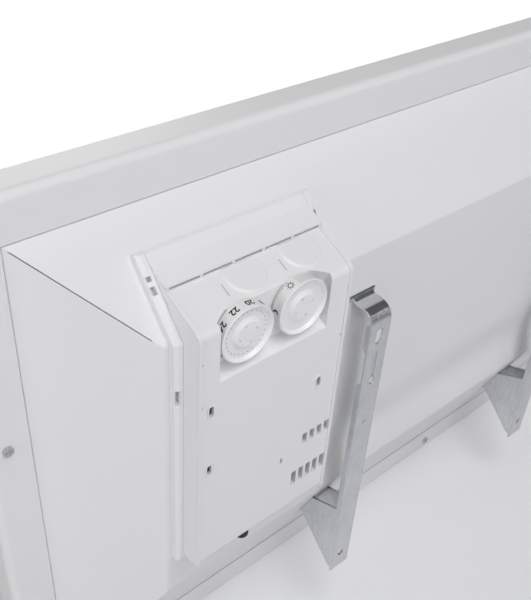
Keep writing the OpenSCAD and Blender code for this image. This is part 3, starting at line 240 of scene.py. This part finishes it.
# %% Moulded plastics
def moulded(name, colour, shade, roughness, grain=2600.0, edge=0.6 * MM):
    def look(tree):
        fine = noise(tree, grain, detail=2.0)
        drift = noise(tree, scale=22.0, detail=2.0)
        return {"Base Color": blend(tree, drift, shade, colour),
                "Roughness": roughness - 0.03 + 0.06 * drift,
                "Normal": relief(tree, fine, distance=0.02 * MM, strength=0.3, edge=edge)}
    return finish(name, {"IOR": 1.5}, look)


box_plastic = moulded("box_plastic", colour=(0.875, 0.875, 0.88), shade=(0.86, 0.86, 0.868),
                      roughness=0.42)
dial_plastic = moulded("dial_plastic", colour=(0.90, 0.90, 0.90), shade=(0.885, 0.885, 0.888),
                       roughness=0.32, edge=0.4 * MM)
spindle_plastic = moulded("spindle_plastic", colour=(0.78, 0.77, 0.73), shade=(0.74, 0.73, 0.69),
                          roughness=0.45)
black_plastic = moulded("black_plastic", colour=(0.03, 0.03, 0.033), shade=(0.022, 0.022, 0.024),
                        roughness=0.5)
terminal_plastic = moulded("terminal_plastic", colour=(0.72, 0.70, 0.62),
                           shade=(0.67, 0.65, 0.58), roughness=0.5)
relay_plastic = moulded("relay_plastic", colour=(0.05, 0.13, 0.42), shade=(0.04, 0.11, 0.36),
                        roughness=0.3)
capacitor_plastic = moulded("capacitor_plastic", colour=(0.62, 0.44, 0.08),
                            shade=(0.56, 0.39, 0.06), roughness=0.28)
seal_rubber = moulded("seal_rubber", colour=(0.028, 0.028, 0.028), shade=(0.02, 0.02, 0.02),
                      roughness=0.7, grain=1500.0)
print("finishes so far:", len(bpy.data.materials))

# %% [markdown]
# ## Galvanised strip
# The brackets are cut from zinc-coated strip. Rolling leaves fine lines along the strip, and the
# zinc freezes in flat crystals, the spangle, each with its own brightness. Noise stretched along
# Z gives the lines, and Voronoi cells give the crystals. The screws are plated with a fine grain,
# the fins are extruded with lines along X, and the rod's steel has heat tints in bands. One plain
# metal for all four would be shorter, but they would then look alike in the light.

# %% Metals
def galvanised_look(tree):
    spangle = cells(tree, scale=900.0)
    rolled = noise(tree, scale=60.0, detail=4.0, stretch=(14, 14, 1))
    stain = noise(tree, scale=60.0, detail=3.0)
    crystal = levels(tree, spangle, (0.0, 0.0), (1.0, 1.0))
    tone = 0.25 * crystal + 0.4 * rolled + 0.35 * stain
    return {"Base Color": blend(tree, tone, (0.48, 0.49, 0.52), (0.97, 0.98, 1.0)),
            "Roughness": 0.15 + 0.05 * crystal + 0.10 * stain,
            "Normal": relief(tree, rolled + 0.25 * crystal, distance=0.03 * MM, strength=0.25,
                             edge=1.2 * MM)}


def plated_look(tree):
    grain = noise(tree, scale=700.0, detail=3.0)
    return {"Base Color": blend(tree, grain, (0.52, 0.52, 0.53), (0.70, 0.70, 0.71)),
            "Roughness": 0.22 + 0.15 * grain,
            "Normal": relief(tree, grain, distance=0.02 * MM, strength=0.3, edge=0.2 * MM)}


def extruded_look(tree):
    lines = noise(tree, scale=160.0, detail=4.0, stretch=(0.05, 1, 1))
    return {"Base Color": blend(tree, lines, (0.62, 0.63, 0.64), (0.80, 0.80, 0.81)),
            "Roughness": 0.30 + 0.18 * lines,
            "Normal": relief(tree, lines, distance=0.04 * MM, strength=0.4)}


def heated_look(tree):
    bands = noise(tree, scale=26.0, detail=3.0, stretch=(1, 4, 4))
    tint = levels(tree, bands, (0.3, (0.16, 0.12, 0.09)), (0.5, (0.22, 0.19, 0.2)),
                  (0.7, (0.3, 0.27, 0.24)))
    return {"Base Color": tint, "Roughness": 0.35 + 0.2 * bands}


galvanised = finish("galvanised", {"Metallic": 1.0}, galvanised_look)
plated = finish("plated_steel", {"Metallic": 1.0}, plated_look)
extruded = finish("extruded_aluminium", {"Metallic": 1.0}, extruded_look)
heated = finish("heated_steel", {"Metallic": 1.0}, heated_look)
print("metals:", [metal.name for metal in (galvanised, plated, extruded, heated)])

# %% [markdown]
# ## Small electrical finishes
# Most of these sit inside the box, yet they are seen when it is opened. The board has a solder
# mask with copper tracks that show as paler bands, the bushes are fired clay, and the wires have
# a matt silicone sleeve. The earth wire is green with a yellow stripe that winds round it. Plain
# colours would do in the dark of the box, but an opened box would then look like a toy.

# %% Electrical finishes
def board_look(tree):
    tracks = cells(tree, scale=260.0, out=0)
    mask = levels(tree, tracks, (0.25, 0.0), (0.32, 1.0))
    return {"Base Color": blend(tree, mask, (0.03, 0.2, 0.07), (0.015, 0.11, 0.035)),
            "Roughness": 0.3 + 0.1 * mask,
            "Normal": relief(tree, mask, distance=0.03 * MM, strength=0.5)}


def clay_look(tree):
    grit = noise(tree, scale=1400.0, detail=3.0)
    return {"Base Color": blend(tree, grit, (0.72, 0.70, 0.64), (0.82, 0.80, 0.75)),
            "Roughness": 0.75 + 0.15 * grit,
            "Normal": relief(tree, grit, distance=0.05 * MM, strength=0.4)}


def sleeve(name, colour, stripe=None):
    def look(tree):
        haze = noise(tree, scale=500.0, detail=2.0)
        base = blend(tree, haze, tuple(0.8 * channel for channel in colour), colour)
        if stripe:
            wave = add_node(tree, "ShaderNodeTexWave", {"bands_direction": "DIAGONAL"},
                            {"Vector": place(tree), "Scale": 95.0}, out=1)
            base = blend(tree, levels(tree, wave, (0.55, 0.0), (0.6, 1.0)), base, stripe)
        return {"Base Color": base, "Roughness": 0.5 + 0.15 * haze}
    return finish(name, {}, look)


def clear_look(tree):
    return {"Roughness": 0.04 + 0.05 * noise(tree, scale=300.0)}


board_mask = finish("board_mask", {"IOR": 1.5}, board_look)
clay = finish("fired_clay", {}, clay_look)
brown_sleeve = sleeve("brown_sleeve", (0.12, 0.05, 0.025))
blue_sleeve = sleeve("blue_sleeve", (0.02, 0.1, 0.4))
earth_sleeve = sleeve("earth_sleeve", (0.03, 0.22, 0.04), stripe=(0.65, 0.55, 0.03))
fuse_glass = finish("fuse_glass", {"Base Color": (0.9, 0.93, 0.93, 1), "Alpha": 0.45, "IOR": 1.5},
                    clear_look)
print("electrical finishes:", [made.name for made in (board_mask, clay, earth_sleeve, fuse_glass)])

# %% [markdown]
# ## One finish for each node
# A table says which nodes share a finish, so a changed finish changes everywhere. Going through
# the material slots keeps the frame's own slots in place. A set difference shows what was missed.

# %% Give every CAD node its finish
finish_of = {
    powder_coat: ["front_panel", "rear_casing", "outlet_grille"],
    box_plastic: ["control_base", "control_cover"],
    dial_plastic: ["temperature_dial", "mode_dial"],
    spindle_plastic: ["temperature_spindle", "mode_spindle"],
    galvanised: ["wall_bracket_left", "wall_bracket_right", "air_deflector", "front_baffle",
                 "heat_shield", "element_support_left", "element_support_right", "cutout_clamp",
                 "pin_saddles"],
    plated: ["casing_screws", "element_terminals", "cutout_screws", "earth_stud", "hinge_pins",
             "base_screws", "board_screws", "terminal_screws", "clamp_screws"],
    extruded: ["element_fins"],
    heated: ["element_rod"],
    clay: ["support_bushes"],
    black_plastic: ["overheat_cutout", "temperature_potentiometer", "mode_switch",
                    "smoothing_capacitor", "temperature_sensor", "cord_clamp"],
    seal_rubber: ["wire_grommet", "cord_gland"],
    terminal_plastic: ["terminal_block"],
    relay_plastic: ["relay"],
    capacitor_plastic: ["dropper_capacitor"],
    board_mask: ["control_board"],
    fuse_glass: ["board_fuse"],
    brown_sleeve: ["live_wire", "link_wire"],
    blue_sleeve: ["neutral_wire"],
    earth_sleeve: ["earth_wire"],
}
for material, names in finish_of.items():
    for name in names:
        for slot in nodes[name].material_slots:
            slot.material = material
plain = set(nodes) - {name for names in finish_of.values() for name in names}
print("nodes without a finish:", sorted(plain))

# %% [markdown]
# ## Marks on the dials
# The dials are read from above, so their marks are printed round the rim, upright for someone who
# stands in front of the heater. The rim's size comes from the CAD dial itself, so the marks
# follow it. Three inks serve: black for numbers and symbols, grey for fine lines and also as the
# painted shade in the bowl's pits, and a pale grey.

# %% Rims and inks
INK_LIFT = 0.02 * MM
INK_THICKNESS = 0.05 * MM


def axis_of(node):
    low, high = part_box(node)
    return (low + high) / 2


rim_low, rim_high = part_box("temperature_dial")
DIAL_RADIUS = (rim_high.x - rim_low.x) / 2
RIM_BACK = rim_low.y
MARK_INSET = 3.6 * MM
RIM_MIDDLE = RIM_BACK + MARK_INSET
temperature_axis = axis_of("temperature_dial")
mode_axis = axis_of("mode_dial")
print("dial radius", round(DIAL_RADIUS / MM, 2), "mm, rim from", round(RIM_BACK / MM, 2), "mm")


def printed(name, dark, light, roughness):
    def look(tree):
        return {"Base Color": blend(tree, noise(tree, scale=3000.0), dark, light),
                "Roughness": roughness + 0.1 * noise(tree, scale=900.0)}
    return finish(name, {}, look)


ink = printed("dial_ink", (0.012, 0.012, 0.013), (0.03, 0.03, 0.032), roughness=0.45)
# The grey serves the printed lines and also the painted shade in the pits of the bowl.
grey_ink_and_pit_shade = printed("grey_ink_and_pit_shade", (0.40, 0.40, 0.41), (0.50, 0.50, 0.51), roughness=0.5)
pale_ink = printed("pale_ink", (0.50, 0.50, 0.51), (0.58, 0.58, 0.59), roughness=0.5)
print("inks:", [colour.name for colour in (ink, grey_ink_and_pit_shade, pale_ink)])

# %% [markdown]
# ## From a flat mark to a piece
# A mark is drawn flat first, with u along the rim and v across it. It gets a hair of thickness
# and is then wrapped round the dial's axis. Marks that share an ink and a body become one piece.
# A shrinkwrap modifier could do the wrapping, but on a plain cylinder the sum is short and exact.

# %% From a flat mark to a piece
def polygon_shape(*outlines):
    """A flat mesh of closed outlines."""
    shape = bmesh.new()
    for outline in outlines:
        shape.faces.new([shape.verts.new((u, v, 0)) for u, v in outline])
    return shape


def thicken(shape):
    """Gives a flat shape the thickness of a layer of ink."""
    bmesh.ops.recalc_face_normals(shape, faces=shape.faces)
    flat = shape.faces[:]
    lifted = bmesh.ops.extrude_face_region(shape, geom=flat)
    tops = [item for item in lifted["geom"] if isinstance(item, bmesh.types.BMVert)]
    bmesh.ops.translate(shape, verts=tops, vec=(0, 0, INK_THICKNESS))
    bmesh.ops.recalc_face_normals(shape, faces=shape.faces)


def wrap(shape, centre, angle):
    """Wraps a shape round the rim of a dial. At angle 0 it faces up, and u runs towards +X."""
    for vert in shape.verts:
        radius = DIAL_RADIUS + INK_LIFT - INK_THICKNESS / 2 + vert.co.z
        around = angle + vert.co.x / DIAL_RADIUS
        vert.co = Vector((centre.x + radius * math.sin(around), RIM_MIDDLE + vert.co.y,
                          centre.z + radius * math.cos(around)))


def join_shapes(shapes, name):
    mesh = bpy.data.meshes.new(name)
    whole = bmesh.new()
    for shape in shapes:
        part = bpy.data.meshes.new("part")
        shape.to_mesh(part)
        shape.free()
        whole.from_mesh(part)
        bpy.data.meshes.remove(part)
    whole.to_mesh(mesh)
    whole.free()
    return mesh


def new_piece(name, mesh, material, body):
    mesh.materials.clear()
    mesh.materials.append(material)
    piece = bpy.data.objects.new(name, mesh)
    scene.collection.objects.link(piece)
    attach(piece, body)
    print(name, "has", len(mesh.polygons), "faces and rides on", body)


print("ink is", round(INK_THICKNESS / MM, 3), "mm thick")

# %% [markdown]
# ## Temperatures
# The scale steps by 2 degrees for each 33 degrees of turn. With the dial at rest, 20 stands
# almost on top. The numbers could be part of the moulding, but a printed dial has a smooth rim. A
# text curve gives their outlines, and its offset makes the strokes a little fatter.

# %% Temperature scale
STEP = math.radians(33)
LOWEST, HIGHEST, TOP_NUMBER = 12, 28, 20
TOP_ANGLE = math.radians(-9)
NUMBER_SIZE = 5.2 * MM
STROKE_GROWTH = 0.03
CURVE_STEPS = 4


def text_shape(words, size):
    """A flat mesh of the words, centred on the origin."""
    curve = bpy.data.curves.new("words", "FONT")
    curve.body = words
    curve.size = size
    curve.offset = STROKE_GROWTH * size
    curve.align_x = "CENTER"
    curve.align_y = "CENTER"
    curve.resolution_u = CURVE_STEPS
    holder = bpy.data.objects.new("words", curve)
    scene.collection.objects.link(holder)
    bpy.context.view_layer.update()
    evaluated = holder.evaluated_get(bpy.context.evaluated_depsgraph_get())
    shape = bmesh.new()
    shape.from_mesh(bpy.data.meshes.new_from_object(evaluated))
    bpy.data.objects.remove(holder)
    bmesh.ops.remove_doubles(shape, verts=shape.verts, dist=0.001 * MM)
    return shape


numbers = []
for degrees in range(LOWEST, HIGHEST + 1, 2):
    shape = text_shape(str(degrees), NUMBER_SIZE)
    thicken(shape)
    wrap(shape, temperature_axis, TOP_ANGLE + STEP * (degrees - TOP_NUMBER) / 2)
    numbers.append(shape)
new_piece("temperature_numbers", join_shapes(numbers, "temperature_numbers"), ink,
          "temperature_knob")

# %% [markdown]
# ## Symbols of the mode dial
# A sun stands for comfort, a moon for the night, crossed bars for frost protection and a nought
# for off. Each is built from plain outlines, so no font with symbols is needed. Every measure in
# them is a share of the symbol's size.

# %% Symbols of the mode dial
SYMBOL_SIZE = 4.4 * MM
SMALL_SYMBOL = 0.9 * SYMBOL_SIZE
HALF_STROKE = 0.05


def arc(radius, start, end, steps):
    turns = [math.radians(start + (end - start) * i / steps) for i in range(steps + 1)]
    return [(radius * math.cos(turn), radius * math.sin(turn)) for turn in turns]


def spoke(angle, near, far, half):
    """The outline of a bar that points away from the origin."""
    along = Vector((math.cos(angle), math.sin(angle)))
    across = Vector((-math.sin(angle), math.cos(angle)))
    corners = ((near, -half), (far, -half), (far, half), (near, half))
    return [tuple(along * r + across * w) for r, w in corners]


def sun_shape(size, facets=16, rays=8):
    """A ring with rays that start just off it."""
    reach = 0.34 * size
    inner = arc(0.26 * size, 0, 360, facets)
    outer = arc(reach, 0, 360, facets)
    ring = [[inner[i], outer[i], outer[i + 1], inner[i + 1]] for i in range(facets)]
    spokes = [spoke(math.tau * i / rays, 1.06 * reach, 0.52 * size, HALF_STROKE * size)
              for i in range(rays)]
    return polygon_shape(*ring, *spokes)


def moon_shape(size):
    """A crescent between two arcs."""
    outer = arc(0.5 * size, 60, 300, 14)
    inner = [(0.22 * size + u, v) for u, v in arc(0.43 * size, 285, 75, 12)]
    return polygon_shape(outer + inner)


def star_shape(size):
    """Three crossing bars."""
    return polygon_shape(*[spoke(math.pi * i / 3, -0.5 * size, 0.5 * size, HALF_STROKE * size)
                           for i in range(3)])


symbols = []
for angle, shape in ((27, sun_shape(SYMBOL_SIZE)), (85, moon_shape(SMALL_SYMBOL)),
                     (-50, star_shape(SMALL_SYMBOL)), (-105, text_shape("0", SYMBOL_SIZE))):
    thicken(shape)
    wrap(shape, mode_axis, math.radians(angle))
    symbols.append(shape)
new_piece("mode_symbols", join_shapes(symbols, "mode_symbols"), ink, "mode_knob")

# %% [markdown]
# ## Pointers
# Above each dial the reading face has a fine line that points at the mark in use. The face falls
# towards the wall by 24.3 degrees, and the line lies on it. A ray cast could find the face, but
# the face is flat, so its slope and one known height give every point of the line.

# %% Pointers
READING_TILT = math.radians(24.3)
READING_LEVEL = 200.9 * MM
REAR_PLANE = -19 * MM
POINTER_WIDTH = 0.55 * MM
POINTER_LENGTH = 7.6 * MM
POINTER_MIDDLE = -17.6 * MM
POINTER_SINK = 0.01 * MM
POINTER_SIDES = (2.6 * MM, 2.4 * MM)


def reading_level(y):
    return READING_LEVEL - (y - REAR_PLANE) * math.tan(READING_TILT)


pointers = []
for axis, aside in zip((temperature_axis, mode_axis), POINTER_SIDES):
    x = axis.x + aside
    side, end = POINTER_WIDTH / 2, POINTER_LENGTH / 2
    shape = polygon_shape([(-side, -end), (side, -end), (side, end), (-side, end)])
    thicken(shape)
    for vert in shape.verts:
        y = POINTER_MIDDLE + vert.co.y * math.cos(READING_TILT)
        vert.co = Vector((x + vert.co.x, y, reading_level(y) + vert.co.z - POINTER_SINK))
    pointers.append(shape)
new_piece("pointers", join_shapes(pointers, "pointers"), grey_ink_and_pit_shade, "heater")

# %% [markdown]
# ## Repeats with Geometry Nodes
# The rims carry rows of fine lines: short ones along the back edge of the mode dial, long ones
# across it beside the sun, and a few on the temperature dial. Each row is one small bar repeated
# by equal turns, which a node tree says in a few named inputs. The result is turned into a plain
# mesh, because the export keeps no instances.

# %% A row of bars on a rim
def row_tree(name, material):
    """Places bars round the Y axis. At angle 0 a bar lies on top, and angles grow towards +X."""
    tree = bpy.data.node_groups.new(name, "GeometryNodeTree")
    inputs = {}
    for label, kind in (("Count", "NodeSocketInt"), ("Radius", "NodeSocketFloat"),
                        ("Start", "NodeSocketFloat"), ("Step", "NodeSocketFloat"),
                        ("Size", "NodeSocketVector")):
        socket = tree.interface.new_socket(label, in_out="INPUT", socket_type=kind)
        inputs[label] = socket.identifier
    tree.interface.new_socket("Geometry", in_out="OUTPUT", socket_type="NodeSocketGeometry")
    group = tree.nodes.new("NodeGroupInput")
    given = {socket.name: Signal(tree, socket) for socket in group.outputs if socket.name}
    index = add_node(tree, "GeometryNodeInputIndex", {}, {})
    angle = given["Start"] + given["Step"] * index
    across = add_node(tree, "ShaderNodeMath", {"operation": "SINE"}, {0: angle})
    upward = add_node(tree, "ShaderNodeMath", {"operation": "COSINE"}, {0: angle})
    spot = add_node(tree, "ShaderNodeCombineXYZ", {},
                    {"X": given["Radius"] * across, "Z": given["Radius"] * upward})
    line = add_node(tree, "GeometryNodeMeshLine", {}, {"Count": given["Count"]})
    spots = add_node(tree, "GeometryNodeSetPosition", {}, {"Geometry": line, "Position": spot})
    turned = add_node(tree, "ShaderNodeCombineXYZ", {}, {"Y": angle})
    bar = add_node(tree, "GeometryNodeMeshCube", {}, {"Size": given["Size"]})
    copies = add_node(tree, "GeometryNodeInstanceOnPoints", {},
                      {"Points": spots, "Instance": bar, "Rotation": turned})
    solid = add_node(tree, "GeometryNodeRealizeInstances", {}, {0: copies})
    painted = add_node(tree, "GeometryNodeSetMaterial", {}, {0: solid, "Material": material})
    tree.links.new(painted.socket, tree.nodes.new("NodeGroupOutput").inputs[0])
    return tree, inputs


def grown_mesh(name, tree, inputs, values):
    """Runs a node tree on an empty mesh and returns the result as a plain mesh."""
    holder = bpy.data.objects.new(name, bpy.data.meshes.new(name))
    scene.collection.objects.link(holder)
    modifier = holder.modifiers.new("grow", "NODES")
    modifier.node_group = tree
    for label, value in values.items():
        modifier[inputs[label]] = value
    bpy.context.view_layer.update()
    evaluated = holder.evaluated_get(bpy.context.evaluated_depsgraph_get())
    mesh = bpy.data.meshes.new_from_object(evaluated)
    bpy.data.objects.remove(holder)
    return mesh


print("a row of bars and the way to grow it are ready")

# %% [markdown]
# ## The rows on the rims
# Angles are in degrees. The length runs along the dial's axis, and the inset is the way from the
# rim's back edge to the row. The lines are finer than the numbers' strokes, as in a real print.

# %% The rows on the rims
LINE_WIDTH = 0.24 * MM


def rim_row(name, centre, body, material, count, start, step, length, inset):
    tree, inputs = row_tree(name, material)
    mesh = grown_mesh(name, tree, inputs,
                      {"Count": count, "Radius": DIAL_RADIUS + INK_LIFT,
                       "Start": math.radians(start), "Step": math.radians(step),
                       "Size": (LINE_WIDTH, length, INK_THICKNESS)})
    mesh.transform(Matrix.Translation((centre.x, RIM_BACK + inset + length / 2, centre.z)))
    new_piece(name, mesh, material, body)


rim_row("mode_divisions", mode_axis, "mode_knob", ink,
        count=18, start=28, step=4, length=0.9 * MM, inset=0.6 * MM)
rim_row("mode_hatching", mode_axis, "mode_knob", pale_ink,
        count=17, start=-40, step=3.2, length=6.4 * MM, inset=0.8 * MM)
rim_row("mode_scale_end", mode_axis, "mode_knob", ink,
        count=2, start=-47, step=3, length=1.6 * MM, inset=1.6 * MM)
rim_row("temperature_divisions", temperature_axis, "temperature_knob", grey_ink_and_pit_shade,
        count=5, start=69, step=2.5, length=1.6 * MM, inset=3.0 * MM)

# %% [markdown]
# ## Painted shade in the bowl's pits
# The temperature dial has a ring of small pits in the floor of its bowl. Each gets a grey dot of
# painted shade, which stands for the shade that falls inside it. The same node tree makes them,
# as square dots laid flat: the row runs round the bowl, one dot for each pit. An array modifier
# could turn them as well, but it needs an empty as its pivot.

# %% Dots in the bowl
DOTS = 27
DOT_RING = 13.3 * MM
BOWL_DEPTH = 2.2 * MM
DOT_WIDTH = 0.62 * MM
DOT_HEIGHT = 0.06 * MM
# The grey here is painted shade for the pits, not ink on the real dial.
tree, inputs = row_tree("bowl_dots", grey_ink_and_pit_shade)
dots = grown_mesh("bowl_dots", tree, inputs,
                  {"Count": DOTS, "Radius": DOT_RING, "Start": 0.0, "Step": math.tau / DOTS,
                   "Size": (DOT_WIDTH, DOT_HEIGHT, DOT_WIDTH)})
dots.transform(Matrix.Translation((temperature_axis.x, rim_high.y - BOWL_DEPTH + DOT_HEIGHT,
                                   temperature_axis.z)))
new_piece("bowl_dots", dots, grey_ink_and_pit_shade, "temperature_knob")

# %% [markdown]
# ## Floor
# A pale floor lies just under the heater. Near the heater it is seen as it is, with its shadows,
# and further off it fades to white, so that no horizon shows. The fade is slower along X, because
# the heater is wide. Only the camera sees the glow, so it lights nothing.

# %% Floor
FLOOR_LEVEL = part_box("front_panel")[0].z - 0.1 * MM
FLOOR_REACH = 5
FADE_STRETCH = (0.55, 1, 0)
FADE_START, FADE_END = 0.25, 0.7
FLOOR_GLOW = 0.2
floor_mesh = bpy.data.meshes.new("floor")
shape = polygon_shape([(-FLOOR_REACH, -FLOOR_REACH), (FLOOR_REACH, -FLOOR_REACH),
                       (FLOOR_REACH, FLOOR_REACH), (-FLOOR_REACH, FLOOR_REACH)])
shape.to_mesh(floor_mesh)
shape.free()
floor_mesh.transform(Matrix.Translation((0, 0, FLOOR_LEVEL)))
floor = bpy.data.objects.new("floor", floor_mesh)
scene.collection.objects.link(floor)

floor_paint = bpy.data.materials.new("floor_paint")
floor_paint.use_nodes = True
tree = floor_paint.node_tree
tree.nodes.clear()
camera_ray = add_node(tree, "ShaderNodeLightPath", {}, {}, out=0)
spot = place(tree, FADE_STRETCH)
distance = add_node(tree, "ShaderNodeVectorMath", {"operation": "LENGTH"}, {0: spot}, out=1)
far = levels(tree, distance, (FADE_START, 0.0), (FADE_END, 1.0))
matt = add_node(tree, "ShaderNodeBsdfDiffuse", {}, {"Color": (0.8, 0.8, 0.81, 1)})
glow = add_node(tree, "ShaderNodeEmission", {}, {"Color": (1, 1, 1, 1), "Strength": 1.0})
seen = add_node(tree, "ShaderNodeMixShader", {},
                {0: camera_ray * (FLOOR_GLOW + (1 - FLOOR_GLOW) * far), 1: matt, 2: glow})
tree.links.new(seen.socket, tree.nodes.new("ShaderNodeOutputMaterial").inputs["Surface"])
floor_mesh.materials.append(floor_paint)
print("floor at", round(FLOOR_LEVEL / MM, 1), "mm, white from", FADE_END, "m on")

# %% [markdown]
# ## Room
# A world shader gives each kind of ray its own brightness. The camera gets full white, glass in
# front of it most of that, and every other ray a faint share, so the lamps below do the
# modelling. Shiny metal then mirrors a dark room, which draws the brackets. A backdrop could be
# white too, but it would light the heater from all sides.

# %% Room
ROOM_LIGHT = 0.1
MIRROR_LOSS = 0.03
GLASS_GAIN = 0.6
room = bpy.data.worlds.new("room")
scene.world = room
room.use_nodes = True
tree = room.node_tree
tree.nodes.clear()
ray = tree.nodes.new("ShaderNodeLightPath")
seen_directly = Signal(tree, ray.outputs["Is Camera Ray"])
reflected = Signal(tree, ray.outputs["Is Glossy Ray"])
refracted = Signal(tree, ray.outputs["Is Transmission Ray"])
strength = (ROOM_LIGHT + (1 - ROOM_LIGHT) * seen_directly - MIRROR_LOSS * reflected
            + GLASS_GAIN * refracted)
glow = add_node(tree, "ShaderNodeBackground", {}, {"Color": (1, 1, 1, 1), "Strength": strength})
tree.links.new(glow.socket, tree.nodes.new("ShaderNodeOutputWorld").inputs["Surface"])
print("room light", ROOM_LIGHT)

# %% [markdown]
# ## Lamps
# Round softboxes. The strongest hangs overhead and a little behind, so whatever faces down stays
# darker and the brackets cast their shadow. One stands above the camera, one level with the
# heater lights its back a little cooler, and one its end. A small one far to the side only glints
# in the metal, and one in front of the panel lights the heater's face, which this camera doesn't
# see. A lit picture of a studio would be quicker, but its lamps couldn't be moved one by one.

# %% Lamps
HEART = Vector((0.1, -0.05, 0.1))
WHITE = (1, 1, 1)
COOL = (0.91, 0.9, 1.0)


def lamp(name, place, watts, size=1.0, colour=WHITE):
    """A round softbox that faces the heater's heart."""
    data = bpy.data.lights.new(name, "AREA")
    data.color = colour
    data.shape = "DISK"
    data.size = size
    data.energy = watts
    light = bpy.data.objects.new(name, data)
    scene.collection.objects.link(light)
    aim = (HEART - Vector(place)).to_track_quat("-Z", "Y").to_matrix().to_4x4()
    light.matrix_world = Matrix.Translation(place) @ aim


lamp("overhead_lamp", (0.1, 0.6, 1.7), watts=10.9)
lamp("camera_lamp", (0.6, 1.1, 1.4), watts=5.9)
lamp("back_lamp", (0.1, 1.7, 0.5), watts=4.9, colour=COOL)
lamp("end_lamp", (1.7, 0.1, 0.4), watts=6.7)
lamp("glint_lamp", (-0.98, 0.95, 0.69), watts=1.0, size=0.3)
lamp("front_lamp", (-0.5, -1.8, 0.9), watts=9.0)
